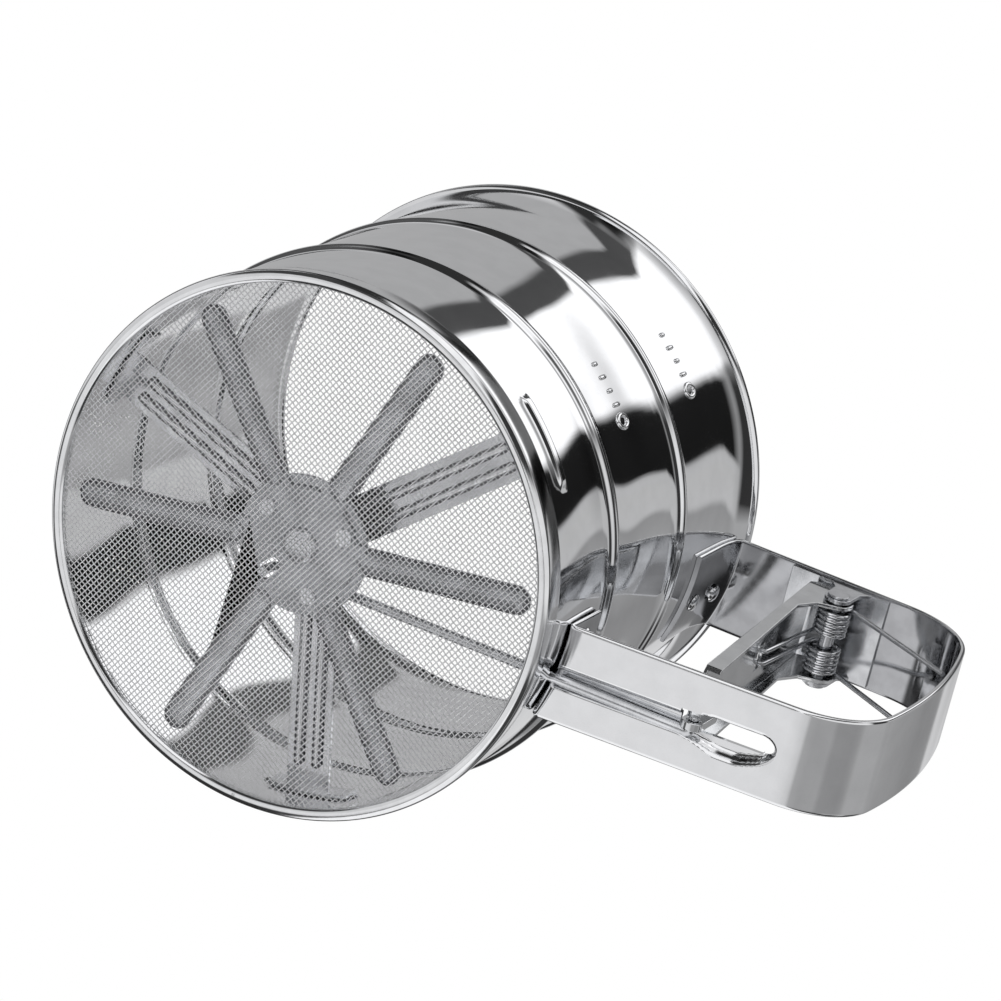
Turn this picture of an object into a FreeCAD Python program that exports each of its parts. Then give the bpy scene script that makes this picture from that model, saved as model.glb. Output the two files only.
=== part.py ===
import FreeCAD, Part
import math
import os
import Sketcher

# Hand flour sifter: a spun cup with a woven screen in its base, a six-armed agitator
# over the screen, and a squeeze handle whose trigger pulls a push rod that turns the agitator.
#
# Millimetres and degrees. The origin is the centre of the base hem's lower face, +Z runs up
# the cup axis to the open mouth, +X points to the handle. The handle strap, the trigger and the
# rod sit off the cup's centre plane, at +Y, because the rod pulls on a crank pin beside the
# spindle.

os.makedirs("parts", exist_ok=True)
doc = FreeCAD.newDocument("flour_sifter")
Vector = FreeCAD.Vector

# ---------------------------------------------------------------- driving dimensions
DIM = {
    # cup
    "cup_height": 93.2, "wall_outer": 51.5, "wall_sheet": 0.5, "wall_foot": 2.65,
    "bead_low": 30.0, "bead_high": 61.0, "bead_half": 1.6, "bead_out": 0.8,
    "flare_start": 82.0, "flare_radius": 28.76, "flare_inner_radius": 29.5, "rim_outer": 54.0,
    "boss_height": 12.2, "boss_half": 1.7, "boss_out": 0.6, "boss_sweep": 21.0,
    # base hem and screen
    "hem_outer": 52.5, "hem_skirt": 52.1, "hem_top": 7.0, "hem_floor": 1.2, "hem_mouth": 50.0,
    "screen_sheet": 0.3, "screen_rim": 51.2, "hoop_inner": 50.2, "hoop_outer": 51.35,
    "hoop_thick": 1.0,
    # bracket that carries the spindle
    "spider_level": 10.6, "spider_sheet": 0.8, "spider_hub": 9.0, "spider_arm": 9.0,
    "spider_reach": 50.5, "spider_rib": 1.4, "spider_foot_tall": 5.0, "spider_foot_sweep": 19.0,
    # spindle stack
    "spindle_shank": 2.0, "spindle_bore": 2.06, "spindle_head": 3.6, "washer_outer": 5.2,
    "washer_thick": 0.4, "spacer_outer": 3.4,
    # agitator
    "star_level": 2.8, "star_sheet": 0.8, "star_core": 11.5, "star_tip": 47.8, "star_arm": 5.6,
    "disc_outer": 13.5, "disc_sheet": 0.8, "crank_slot_half": 1.5, "crank_near": 7.4,
    "crank_far": 9.9, "hub_rivet": 1.1, "hub_rivet_pitch": 9.6,
    # handle strap
    "strap_sheet": 1.0, "strap_half": 9.75, "strap_offset": 8.2, "arm_rise": 5.65,
    "arm_foot_height": 13.35, "arm_foot_reach": 52.5, "top_arm_height": 89.8,
    "grip_low_x": 95.6, "grip_low_z": 33.2, "grip_low_radius": 15.5,
    "grip_top_x": 90.3, "grip_top_radius": 17.3, "grip_bulge": 131.0,
    "tab_outer": 52.6, "tab_low_top": 25.8, "tab_high_foot": 71.5,
    "groove_depth": 1.6, "slot_half": 2.0,
    # rivets in the tabs
    "tab_rivet": 1.2, "tab_rivet_head": 1.9, "tab_rivet_angle": 10.3,
    # trigger
    "pivot_x": 78.3, "pivot_z": 81.0, "pin_radius": 1.5, "pin_bore": 1.55,
    "lever_half": 8.2, "lever_sheet": 0.8, "tongue_half": 0.8, "hook_x": 79.1, "hook_z": 15.68,
    "hook_bore": 1.35,
    # pivot bracket
    "bracket_sheet": 0.75, "bracket_half": 9.2,
    # spring and rod
    "spring_wire": 0.56, "spring_mean": 2.9, "spring_pitch": 1.08, "spring_inner": 1.3,
    "rod_radius": 1.0, "crank_x": -6.0, "crank_y": 7.34, "crank_tip": 1.9,
}

sheet = doc.addObject("Spreadsheet::Sheet", "dims")
for row, (alias, size) in enumerate(DIM.items(), start=1):
    sheet.set("A%d" % row, alias)
    sheet.set("B%d" % row, str(size))
    sheet.setAlias("B%d" % row, alias)
doc.recompute()


class Measure:
    """A length or angle with both its number and its spreadsheet expression."""

    def __init__(self, value, text=None):
        self.value = float(value)
        self.text = repr(self.value) if text is None else text
        self.plain = text is None

    def join(self, other, sign, operation):
        other = measure(other)
        result = Measure(operation(self.value, other.value),
                         "(%s %s %s)" % (self.text, sign, other.text))
        result.plain = self.plain and other.plain
        return result

    def __add__(self, other):
        return self.join(other, "+", lambda a, b: a + b)

    def __sub__(self, other):
        return self.join(other, "-", lambda a, b: a - b)

    def __mul__(self, other):
        return self.join(other, "*", lambda a, b: a * b)

    def __truediv__(self, other):
        return self.join(other, "/", lambda a, b: a / b)

    def __neg__(self):
        return Measure(0) - self


def measure(number):
    return number if isinstance(number, Measure) else Measure(number)


def dim(name):
    return Measure(DIM[name], "dims." + name)


def sin(angle):
    return Measure(math.sin(math.radians(angle.value)), "sin(%s)" % angle.text)


def cos(angle):
    return Measure(math.cos(math.radians(angle.value)), "cos(%s)" % angle.text)


def bind(item, prop, value):
    value = measure(value)
    if value.plain:
        setattr(item, prop, value.value)
    else:
        item.setExpression(prop, value.text)


# ---------------------------------------------------------------- sketch helpers
# Axes a sketch is turned about, in its own frame. In the XZ and YZ planes SKETCH_Y is the
# cup axis.
SKETCH_Y = (0, 1, 0)
SKETCH_NORMAL = (0, 0, 1)


def at_y(y):
    """Shift of an XZ sketch to height y; its pads and pockets then run towards -Y."""
    return (0, 0, -measure(y))


def new_body(name):
    return doc.addObject("PartDesign::Body", name)


def origin(body, role):
    return [item for item in body.Origin.OriginFeatures if item.Role == role][0]


def sketch(body, name, plane, shift, turn):
    profile = body.newObject("Sketcher::SketchObject", name)
    profile.AttachmentSupport = [(origin(body, plane), "")]
    profile.MapMode = "FlatFace"
    rotation = FreeCAD.Rotation() if turn is None else FreeCAD.Rotation(Vector(*turn[0]), turn[1])
    shift = [measure(part) for part in shift]
    base = Vector(*[part.value for part in shift])
    profile.AttachmentOffset = FreeCAD.Placement(base, rotation)
    for axis, part in zip("xyz", shift):
        if not part.plain:
            profile.setExpression("AttachmentOffset.Base." + axis, part.text)
    return profile


def constrain(profile, value, *target):
    index = profile.addConstraint(Sketcher.Constraint(*target, value.value))
    if not value.plain:
        profile.setExpression("Constraints[%d]" % index, value.text)


def pin_point(profile, geometry, position, x, y):
    constrain(profile, x, "DistanceX", geometry, position)
    constrain(profile, y, "DistanceY", geometry, position)


def add_arc(profile, start, finish, radius, side):
    """Adds an arc and returns its number with its vertex numbers at start and finish."""
    start_at = Vector(start[0].value, start[1].value, 0)
    finish_at = Vector(finish[0].value, finish[1].value, 0)
    chord = finish_at - start_at
    half = chord.Length / 2
    left = Vector(-chord.y, chord.x, 0).normalize()
    rise = math.sqrt(max(radius.value * radius.value - half * half, 0.0))
    centre = (start_at + finish_at) * 0.5 + left * (side * rise)
    # sketch arcs run counterclockwise, so one with its centre on the right is stored backwards
    begin, end = (start_at, finish_at) if side == 1 else (finish_at, start_at)
    begin_angle = math.atan2(begin.y - centre.y, begin.x - centre.x)
    end_angle = math.atan2(end.y - centre.y, end.x - centre.x)
    while end_angle < begin_angle:
        end_angle += 2 * math.pi
    full = Part.Circle(centre, Vector(0, 0, 1), radius.value)
    geometry = profile.addGeometry(Part.ArcOfCircle(full, begin_angle, end_angle), False)
    if radius.value - half < 1e-6:
        # a half circle: its centre's place fixes it, the radius would say it twice
        across = 0 if abs(chord.y) > abs(chord.x) else 1
        middle = (start[across] + finish[across]) / 2
        constrain(profile, middle, ("DistanceX", "DistanceY")[across], geometry, 3)
    else:
        constrain(profile, radius, "Radius", geometry)
    return (geometry, 1, 2) if side == 1 else (geometry, 2, 1)


def outline(body, name, plane, points, shift=(0, 0, 0), turn=None):
    """Sketch of a closed outline. Each entry is (x, y) for a straight run to the next point, or
    (x, y, radius, side) for an arc to the next point, with its centre on the left (side 1)
    or on the right (side -1) of the way it runs."""
    profile = sketch(body, name, plane, shift, turn)
    starts = [(measure(entry[0]), measure(entry[1])) for entry in points]
    runs = []
    for i, entry in enumerate(points):
        start, finish = starts[i], starts[(i + 1) % len(starts)]
        if len(entry) == 2:
            line = Part.LineSegment(Vector(start[0].value, start[1].value, 0),
                                    Vector(finish[0].value, finish[1].value, 0))
            runs.append((profile.addGeometry(line, False), 1, 2))
        else:
            runs.append(add_arc(profile, start, finish, measure(entry[2]), entry[3]))
    for i, (geometry, first, last) in enumerate(runs):
        following = runs[(i + 1) % len(runs)]
        profile.addConstraint(
            Sketcher.Constraint("Coincident", geometry, last, following[0], following[1]))
        pin_point(profile, geometry, first, *starts[i])
    return profile


def circles(body, name, plane, entries, shift=(0, 0, 0), turn=None):
    """Sketch of circles, each entry (centre x, centre y, radius)."""
    profile = sketch(body, name, plane, shift, turn)
    for entry in entries:
        x, y, radius = [measure(part) for part in entry]
        ring = Part.Circle(Vector(x.value, y.value, 0), Vector(0, 0, 1), radius.value)
        geometry = profile.addGeometry(ring, False)
        constrain(profile, radius, "Radius", geometry)
        pin_point(profile, geometry, 3, x, y)
    return profile


def rectangle(x_low, y_low, x_high, y_high):
    return [(x_low, y_low), (x_high, y_low), (x_high, y_high), (x_low, y_high)]


def slot(x_low, x_high, y_middle, radius, round_start=True):
    """Outline of a slot along x, round at its high end and, if asked, at its low end."""
    low, high = measure(y_middle) - radius, measure(y_middle) + radius
    start = (x_low, high, radius, 1) if round_start else (x_low, high)
    return [(x_low, low), (x_high, low, radius, 1), (x_high, high), start]


# ---------------------------------------------------------------- feature helpers
def checked(feature):
    """Stops at the first feature or sketch that fails, by name."""
    doc.recompute()
    profile = getattr(feature, "Profile", None)
    for item in (feature, profile[0] if profile else None):
        if item is not None and ("Invalid" in item.State or "Error" in item.State):
            raise RuntimeError("%s: %s" % (item.Name, item.getStatusString()))
    if feature.Shape.isNull() or not feature.Shape.isValid():
        raise RuntimeError(feature.Name + " has no valid shape: " + feature.getStatusString())
    return feature


def checked_cut(feature, volume_before):
    checked(feature)
    if volume_before - feature.Shape.Volume < 1e-3:
        raise RuntimeError(feature.Name + " removes nothing")


def profile_feature(body, kind, name, profile):
    feature = body.newObject("PartDesign::" + kind, name)
    feature.Profile = profile
    return feature


def pad(body, profile, length, name):
    feature = profile_feature(body, "Pad", name, profile)
    bind(feature, "Length", length)
    return checked(feature)


def pocket(body, profile, length, name, must_cut=True):
    """Cuts from the sketch along its normal."""
    before = body.Tip.Shape.Volume
    feature = profile_feature(body, "Pocket", name, profile)
    bind(feature, "Length", length)
    feature.Reversed = True
    if must_cut:
        checked_cut(feature, before)
    else:
        doc.recompute()


def turned(body, profile, name, angle=360.0, kind="Revolution"):
    feature = profile_feature(body, kind, name, profile)
    feature.ReferenceAxis = (origin(body, "Z_Axis"), [""])
    bind(feature, "Angle", angle)
    return checked(feature)


def groove(body, profile, name):
    before = body.Tip.Shape.Volume
    checked_cut(turned(body, profile, name, kind="Groove"), before)


def around(body, features, count, name):
    feature = body.newObject("PartDesign::PolarPattern", name)
    feature.Originals = features
    feature.Axis = (origin(body, "Z_Axis"), [""])
    feature.Angle = 360.0
    feature.Occurrences = count
    body.Tip = feature
    checked(feature)


def shape_object(name, shape, placement=None):
    item = doc.addObject("Part::Feature", name)
    item.Shape = shape
    item.Placement = placement or FreeCAD.Placement()
    return item


def compound(name, items):
    group = doc.addObject("Part::Compound", name)
    group.Links = items
    doc.recompute()
    return group


PIECES = {}


def publish(item, label):
    item.Label = label
    PIECES[label] = item


# ---------------------------------------------------------------- shared places
FIT_GAP = 0.03      # round a shank in its hole, and between stacked parts
SHEET_GAP = 0.02    # between sheets that lie on each other
WALL_GAP = 0.04     # between the cup wall and what lies against it

wall = dim("wall_outer")
strap_sheet = dim("strap_sheet")
middle_y = dim("strap_offset")  # middle plane of the handle and trigger
pivot_x, pivot_z = dim("pivot_x"), dim("pivot_z")

BRACKET_ANGLE = -41.0  # first arm of the spindle bracket, and first boss on the cup

# spindle stack, from the bottom up
disc_low = dim("star_level") + dim("star_sheet") + SHEET_GAP
disc_top = disc_low + dim("disc_sheet")
washer_low = disc_top + 0.05
washer_high = dim("spider_level") + dim("spider_sheet") + FIT_GAP

# the rod's straight run, between its two corners
ROD_END = Vector(DIM["hook_x"], 10.05, DIM["hook_z"])
ROD_INNER = Vector(DIM["crank_x"], DIM["crank_y"], 0)
ROD_INNER.z = ROD_END.z - math.tan(math.radians(DIM["arm_rise"])) * (ROD_END.x - ROD_INNER.x)

# rivets in the handle tabs: angle round the cup, height
TAB_RIVETS = [
    (DIM["tab_rivet_angle"], 84.3),
    (DIM["tab_rivet_angle"], 75.4),
    (2.6, 20.4),
    (16.6, 20.4),
]


def tab_rivet_holes(body, prefix):
    for i, (angle, height) in enumerate(TAB_RIVETS):
        name = "%s%d" % (prefix, i)
        profile = circles(body, name + "Sketch", "YZ_Plane",
                          [(0.0, height, dim("tab_rivet") + FIT_GAP)], turn=(SKETCH_Y, angle))
        pocket(body, profile, 60.0, name)


# ---------------------------------------------------------------- cup and base
def build_cup():
    """One spun sheet: straight wall, two rolled beads, a flared mouth with a rolled rim."""
    skin = dim("wall_sheet")
    inner = wall - skin
    half, out = dim("bead_half"), dim("bead_out")
    bead_radius = (half * half + out * out) / (out * 2)
    inner_radius = bead_radius - skin
    # half the bead's height where its inner arc meets the wall's inner face
    inner_half = math.sqrt(inner_radius.value ** 2 - (inner_radius - out).value ** 2)
    bead_low, bead_high = dim("bead_low"), dim("bead_high")
    rim, top = dim("rim_outer"), dim("cup_height")
    cup = new_body("Cup")
    profile = outline(cup, "CupProfile", "XZ_Plane", [
        (wall, dim("wall_foot")),
        (wall, bead_low - half, bead_radius, 1),
        (wall, bead_low + half),
        (wall, bead_high - half, bead_radius, 1),
        (wall, bead_high + half),
        (wall, dim("flare_start"), dim("flare_radius"), -1),
        (rim - 0.85, top - 1.6, 0.8, 1),
        (rim - 0.55, top - 0.05),
        (rim - 1.0, top),
        (rim - 1.4, top - 0.75),
        (rim - 1.45, top - 1.5, dim("flare_inner_radius"), 1),
        (inner, dim("flare_start")),
        (inner, bead_high + inner_half, inner_radius, -1),
        (inner, bead_high - inner_half),
        (inner, bead_low + inner_half, inner_radius, -1),
        (inner, bead_low - inner_half),
        (inner, dim("wall_foot")),
    ])
    turned(cup, profile, "CupWall")

    # pressed bars above the hem: each is the outside of a pocket that holds a bracket foot
    boss_z, boss_half, root = dim("boss_height"), dim("boss_half"), wall - 0.2
    boss_face, flat_half = wall + dim("boss_out"), boss_half * 0.45
    profile = outline(cup, "BossProfile", "XZ_Plane", [
        (root, boss_z - boss_half),
        (wall, boss_z - boss_half),
        (boss_face, boss_z - flat_half),
        (boss_face, boss_z + flat_half),
        (wall, boss_z + boss_half),
        (root, boss_z + boss_half),
    ], turn=(SKETCH_Y, BRACKET_ANGLE - DIM["boss_sweep"] / 2))
    boss = turned(cup, profile, "FootBoss", dim("boss_sweep"))
    around(cup, [boss], 3, "FootBosses")

    # the rod's way through the wall, a slot a little wider than high
    hole_x, hole_radius, hole_stretch = 50.5, 1.45, 0.5
    run = ROD_END - ROD_INNER
    hole_at = ROD_INNER + run * ((hole_x - ROD_INNER.x) / run.x)
    profile = outline(cup, "RodHole", "YZ_Plane",
                      slot(hole_at.y - hole_stretch, hole_at.y + hole_stretch,
                           hole_at.z, hole_radius), shift=(0, 0, 40.0))
    pocket(cup, profile, 20.0, "RodOpening")
    tab_rivet_holes(cup, "CupRivetHole")
    publish(cup, "cup_shell")


def build_hem():
    mouth, outer, top = dim("hem_mouth"), dim("hem_outer"), dim("hem_top")
    lip_radius, corner_radius = 0.55, 1.1
    hem = new_body("Hem")
    profile = outline(hem, "HemProfile", "XZ_Plane", [
        (mouth, lip_radius, lip_radius, 1),
        (mouth + lip_radius, 0.0),
        (outer - corner_radius, 0.0, corner_radius, 1),
        (outer, corner_radius),
        (outer, top - 1.4),
        (dim("hem_skirt"), top - 0.8),
        (dim("hem_skirt"), top),
        (wall + WALL_GAP, top),
        (wall + WALL_GAP, dim("hem_floor")),
        (mouth, dim("hem_floor")),
    ])
    turned(hem, profile, "HemRing")
    publish(hem, "base_hem_ring")


def build_screen_and_hoop():
    screen_low = dim("hem_floor") + SHEET_GAP
    screen = new_body("Screen")
    profile = circles(screen, "ScreenDisc", "XY_Plane", [(0, 0, dim("screen_rim"))],
                      shift=(0, 0, screen_low))
    pad(screen, profile, dim("screen_sheet"), "ScreenSheet")
    publish(screen, "sifting_screen")

    low = screen_low + dim("screen_sheet") + SHEET_GAP
    high = low + dim("hoop_thick")
    inner, outer, edge_radius = dim("hoop_inner"), dim("hoop_outer"), 0.3
    hoop = new_body("Hoop")
    profile = outline(hoop, "HoopSection", "XZ_Plane", [
        (inner, low + edge_radius, edge_radius, 1),
        (inner + edge_radius, low),
        (outer, low),
        (outer, high),
        (inner, high),
    ])
    turned(hoop, profile, "HoopRing")
    publish(hoop, "screen_clamp_hoop")


# ---------------------------------------------------------------- spindle and its bracket
def build_spindle_bracket():
    level, thick, reach = dim("spider_level"), dim("spider_sheet"), dim("spider_reach")
    spider = new_body("Spider")
    profile = circles(spider, "SpiderHub", "XY_Plane", [
        (0, 0, dim("spider_hub")),
        (0, 0, dim("spindle_shank") + FIT_GAP),
    ], shift=(0, 0, level))
    pad(spider, profile, thick, "HubPlate")

    along_arm = (SKETCH_NORMAL, BRACKET_ANGLE)
    arm_half = dim("spider_arm") / 2
    profile = outline(spider, "SpiderArm", "XY_Plane",
                      rectangle(5.0, -arm_half, reach, arm_half),
                      shift=(0, 0, level), turn=along_arm)
    repeated = [pad(spider, profile, thick, "ArmPlate")]

    # two ribs under each arm, run slightly into the plate
    rib_offset, rib_half = 1.9, dim("spider_rib") / 2
    for side, tag in ((1, "Left"), (-1, "Right")):
        rib_y = Measure(rib_offset * side)
        profile = outline(spider, "SpiderRib" + tag, "XY_Plane",
                          rectangle(11.0, rib_y - rib_half, 45.0, rib_y + rib_half),
                          shift=(0, 0, level - 0.5), turn=along_arm)
        repeated.append(pad(spider, profile, 0.6, "ArmRib" + tag))

    foot_outer = reach + 0.4
    profile = outline(spider, "SpiderFoot", "XZ_Plane",
                      rectangle(foot_outer - thick, level,
                                foot_outer, level + dim("spider_foot_tall")),
                      turn=(SKETCH_Y, BRACKET_ANGLE - DIM["spider_foot_sweep"] / 2))
    repeated.append(turned(spider, profile, "Foot", dim("spider_foot_sweep")))
    around(spider, repeated, 3, "ThreeArms")
    publish(spider, "spindle_bracket")


def build_spindle():
    shank, head = dim("spindle_shank"), dim("spindle_head")
    head_top = dim("star_level") - 0.06
    top_seat = washer_high + dim("washer_thick") + FIT_GAP
    spindle = new_body("Spindle")
    profile = outline(spindle, "SpindleProfile", "XZ_Plane", [
        (0.0, head_top - 0.85),
        (head - 0.8, head_top - 0.85, 1.0, 1),
        (head, head_top - 0.2),
        (head, head_top),
        (shank, head_top),
        (shank, top_seat),
        (head - 0.4, top_seat),
        (head - 0.4, top_seat + 0.3, 1.2, 1),
        (1.2, top_seat + 1.0),
        (0.0, top_seat + 1.0),
    ])
    turned(spindle, profile, "SpindleBody")
    publish(spindle, "spindle_rivet")


def build_spacer():
    """Tube between the lower washer and the bracket."""
    washer_top = washer_low + dim("washer_thick")
    spacer = new_body("Spacer")
    profile = circles(spacer, "SpacerRing", "XY_Plane", [
        (0, 0, dim("spacer_outer")),
        (0, 0, dim("spindle_bore")),
    ], shift=(0, 0, washer_top + FIT_GAP))
    pad(spacer, profile, dim("spider_level") - washer_top - FIT_GAP * 2, "SpacerTube")
    publish(spacer, "spindle_spacer")


def build_washers():
    """Two identical flat washers, one under the spacer and one on the bracket's hub."""
    washers = []
    for tag, level in (("Low", washer_low), ("High", washer_high)):
        ring = doc.addObject("Part::Cylinder", "Washer" + tag)
        bore = doc.addObject("Part::Cylinder", "WasherBore" + tag)
        for part, radius in ((ring, dim("washer_outer")), (bore, dim("spindle_bore"))):
            bind(part, "Radius", radius)
            bind(part, "Height", dim("washer_thick"))
            bind(part, "Placement.Base.z", level)
        cut = doc.addObject("Part::Cut", "WasherRing" + tag)
        cut.Base, cut.Tool = ring, bore
        washers.append(cut)
    publish(compound("Washers", washers), "spindle_washers")


# ---------------------------------------------------------------- agitator
STAR_ANGLE = -8.0
CRANK_ANGLE = math.degrees(math.atan2(DIM["crank_y"], DIM["crank_x"]))
HUB_RIVET_PLACES = [
    (dim("hub_rivet_pitch") * math.cos(math.radians(angle)),
     dim("hub_rivet_pitch") * math.sin(math.radians(angle)))
    for angle in (-30.0, -150.0, 66.0)
]
PLATE_CUT_START = 0.5  # below the plate's lower face
PLATE_CUT_DEPTH = 2.0


def crank_and_rivet_holes(body, prefix, level):
    shift = (0, 0, level - PLATE_CUT_START)
    profile = outline(body, prefix + "CrankSlotSketch", "XY_Plane",
                      slot(dim("crank_near"), dim("crank_far"), 0.0, dim("crank_slot_half")),
                      shift=shift, turn=(SKETCH_NORMAL, CRANK_ANGLE))
    pocket(body, profile, PLATE_CUT_DEPTH, prefix + "CrankSlot")
    profile = circles(body, prefix + "RivetHolesSketch", "XY_Plane",
                      [(x, y, dim("hub_rivet") + FIT_GAP) for x, y in HUB_RIVET_PLACES],
                      shift=shift)
    pocket(body, profile, PLATE_CUT_DEPTH, prefix + "RivetHoles")


def build_star():
    level, thick = dim("star_level"), dim("star_sheet")
    star = new_body("Star")
    profile = circles(star, "StarCore", "XY_Plane", [(0, 0, dim("star_core"))],
                      shift=(0, 0, level))
    pad(star, profile, thick, "CorePlate")
    arm_half = dim("star_arm") / 2
    profile = outline(star, "StarArm", "XY_Plane",
                      slot(6.0, dim("star_tip") - arm_half, 0.0, arm_half, round_start=False),
                      shift=(0, 0, level), turn=(SKETCH_NORMAL, STAR_ANGLE))
    arm = pad(star, profile, thick, "ArmBlade")
    around(star, [arm], 6, "SixArms")
    profile = circles(star, "StarBore", "XY_Plane", [(0, 0, dim("spindle_bore"))],
                      shift=(0, 0, level - PLATE_CUT_START))
    pocket(star, profile, PLATE_CUT_DEPTH, "SpindleBore")
    crank_and_rivet_holes(star, "Star", level)
    publish(star, "agitator_star")


def build_crank_disc():
    disc = new_body("Disc")
    profile = circles(disc, "DiscPlate", "XY_Plane", [
        (0, 0, dim("disc_outer")),
        (0, 0, dim("spindle_bore")),
    ], shift=(0, 0, disc_low))
    pad(disc, profile, dim("disc_sheet"), "DiscSheet")
    crank_and_rivet_holes(disc, "Disc", disc_low)
    publish(disc, "crank_disc")


def build_hub_rivets():
    """Three small rivets hold the crank disc on the star."""
    shank, head = dim("hub_rivet"), dim("hub_rivet") + 0.6
    # name, radius, lower end, length
    stages = (
        ("Shank", shank, dim("star_level") - 0.45, 2.5),
        ("HeadLow", head, dim("star_level") - 0.5, 0.47),
        ("HeadHigh", head, disc_top + 0.03, 0.5),
    )
    rivets = []
    for i, (x, y) in enumerate(HUB_RIVET_PLACES):
        parts = []
        for tag, radius, low, length in stages:
            part = doc.addObject("Part::Cylinder", "HubRivet%s%d" % (tag, i))
            bind(part, "Radius", radius)
            bind(part, "Height", length)
            bind(part, "Placement.Base.x", x)
            bind(part, "Placement.Base.y", y)
            bind(part, "Placement.Base.z", low)
            parts.append(part)
        rivet = doc.addObject("Part::MultiFuse", "HubRivet%d" % i)
        rivet.Shapes = parts
        rivets.append(rivet)
    publish(compound("HubRivets", rivets), "hub_rivets")


# ---------------------------------------------------------------- handle strap
# One polished strip bent into a D: a rising lower arm, a slightly bulged grip, a level upper
# arm, and a tab at each end that is bent inward and lies on the cup wall.
near_y = middle_y - dim("strap_half")
far_y = middle_y + dim("strap_half")
foot_z = dim("arm_foot_height")
arm_top = dim("top_arm_height")


def add_strap_loop(strap):
    rise, bulge, start_x = dim("arm_rise"), dim("grip_bulge"), Measure(46.0)
    slope = sin(rise) / cos(rise)
    low_radius, top_x, top_radius = dim("grip_low_radius"), dim("grip_top_x"), dim("grip_top_radius")
    top_z = arm_top - top_radius
    # directions from the bend centres to where the grip's long arc begins and ends
    grip_low_angle, grip_top_angle = Measure(-4.8), Measure(15.06)

    def on_low(radius, angle):
        return dim("grip_low_x") + radius * cos(angle), dim("grip_low_z") + radius * sin(angle)

    def face(inset):
        """The arm's start height and the three bend points of a face this far inside."""
        arm_end = on_low(low_radius - inset, rise - 90.0)
        grip_low = on_low(low_radius - inset, grip_low_angle)
        radius = top_radius - inset
        grip_top = (top_x + radius * cos(grip_top_angle), top_z + radius * sin(grip_top_angle))
        return arm_end[1] - (arm_end[0] - start_x) * slope, arm_end, grip_low, grip_top

    out_start, out_arm, out_low, out_top = face(0.0)
    in_start, in_arm, in_low, in_top = face(strap_sheet)
    profile = outline(strap, "StrapLoop", "XZ_Plane", [
        (start_x, out_start),
        (*out_arm, low_radius, 1),
        (*out_low, bulge, 1),
        (*out_top, top_radius, 1),
        (top_x, arm_top),
        (start_x, arm_top),
        (start_x, arm_top - strap_sheet),
        (top_x, arm_top - strap_sheet, top_radius - strap_sheet, -1),
        (*in_top, bulge - strap_sheet, -1),
        (*in_low, low_radius - strap_sheet, -1),
        in_arm,
        (start_x, in_start),
    ], shift=at_y(far_y))
    pad(strap, profile, dim("strap_half") * 2, "StrapBand")


def add_tabs(strap):
    """Each tab is a sector of a cylinder that lies on the wall."""
    tab_turn, tab_sweep = (SKETCH_Y, -6.0), 32.0
    root, face = wall - 1.0, dim("tab_outer")
    profile = outline(strap, "UpperTab", "XZ_Plane", [
        (root, dim("tab_high_foot")),
        (face, dim("tab_high_foot")),
        (face, dim("flare_start")),
        (face + 0.45, arm_top - strap_sheet - 1.4, 1.4, -1),
        (face + 1.75, arm_top - strap_sheet),
        (face + 1.75, arm_top),
        (root, arm_top),
    ], turn=tab_turn)
    turned(strap, profile, "UpperTabPlate", tab_sweep)
    profile = outline(strap, "LowerTab", "XZ_Plane", [
        (root, foot_z + 0.25),
        (face + 1.2, foot_z + 0.25),
        (face + 1.2, foot_z + strap_sheet + 0.1, 1.3, -1),
        (face, foot_z + strap_sheet + 1.3),
        (face, dim("tab_low_top")),
        (root, dim("tab_low_top")),
    ], turn=tab_turn)
    turned(strap, profile, "LowerTabPlate", tab_sweep)


def add_channel_and_slot(strap):
    """The rod's channel and the slot beside it, in the lower arm. Their sketches have x along
    the arm's outer face from the foot of the arm, y along Y, and are lifted off that face
    into the handle."""
    rise = dim("arm_rise")

    def on_arm(lift):
        return {"shift": (dim("arm_foot_reach") - sin(rise) * lift, 0.0,
                          foot_z + cos(rise) * lift),
                "turn": (SKETCH_Y, -DIM["arm_rise"])}

    def channel(grow):
        return [
            (-3.0, 6.9 - grow),
            (23.5, 7.1 - grow),
            (33.0, 5.7 - grow),
            (39.0, 5.7 - grow, 3.4 + grow, 1),
            (39.0, 12.5 + grow),
            (33.0, 12.7 + grow),
            (25.5, 11.8 + grow),
            (-3.0, 10.9 + grow),
        ]

    cut_lift = -1.0  # cuts start outside the arm
    depth = dim("groove_depth")
    profile = outline(strap, "ChannelRidge", "XY_Plane", channel(0.9), **on_arm(strap_sheet - 0.2))
    pad(strap, profile, depth + 0.1, "ChannelBack")
    profile = outline(strap, "ChannelPress", "XY_Plane", channel(0.0), **on_arm(cut_lift))
    pocket(strap, profile, depth - cut_lift, "Channel")
    half = dim("slot_half")
    profile = outline(strap, "TriggerSlot", "XY_Plane",
                      slot(23.8, 40.4, half + 6.1, half, round_start=False), **on_arm(cut_lift))
    pocket(strap, profile, 6.0, "Slot")


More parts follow.
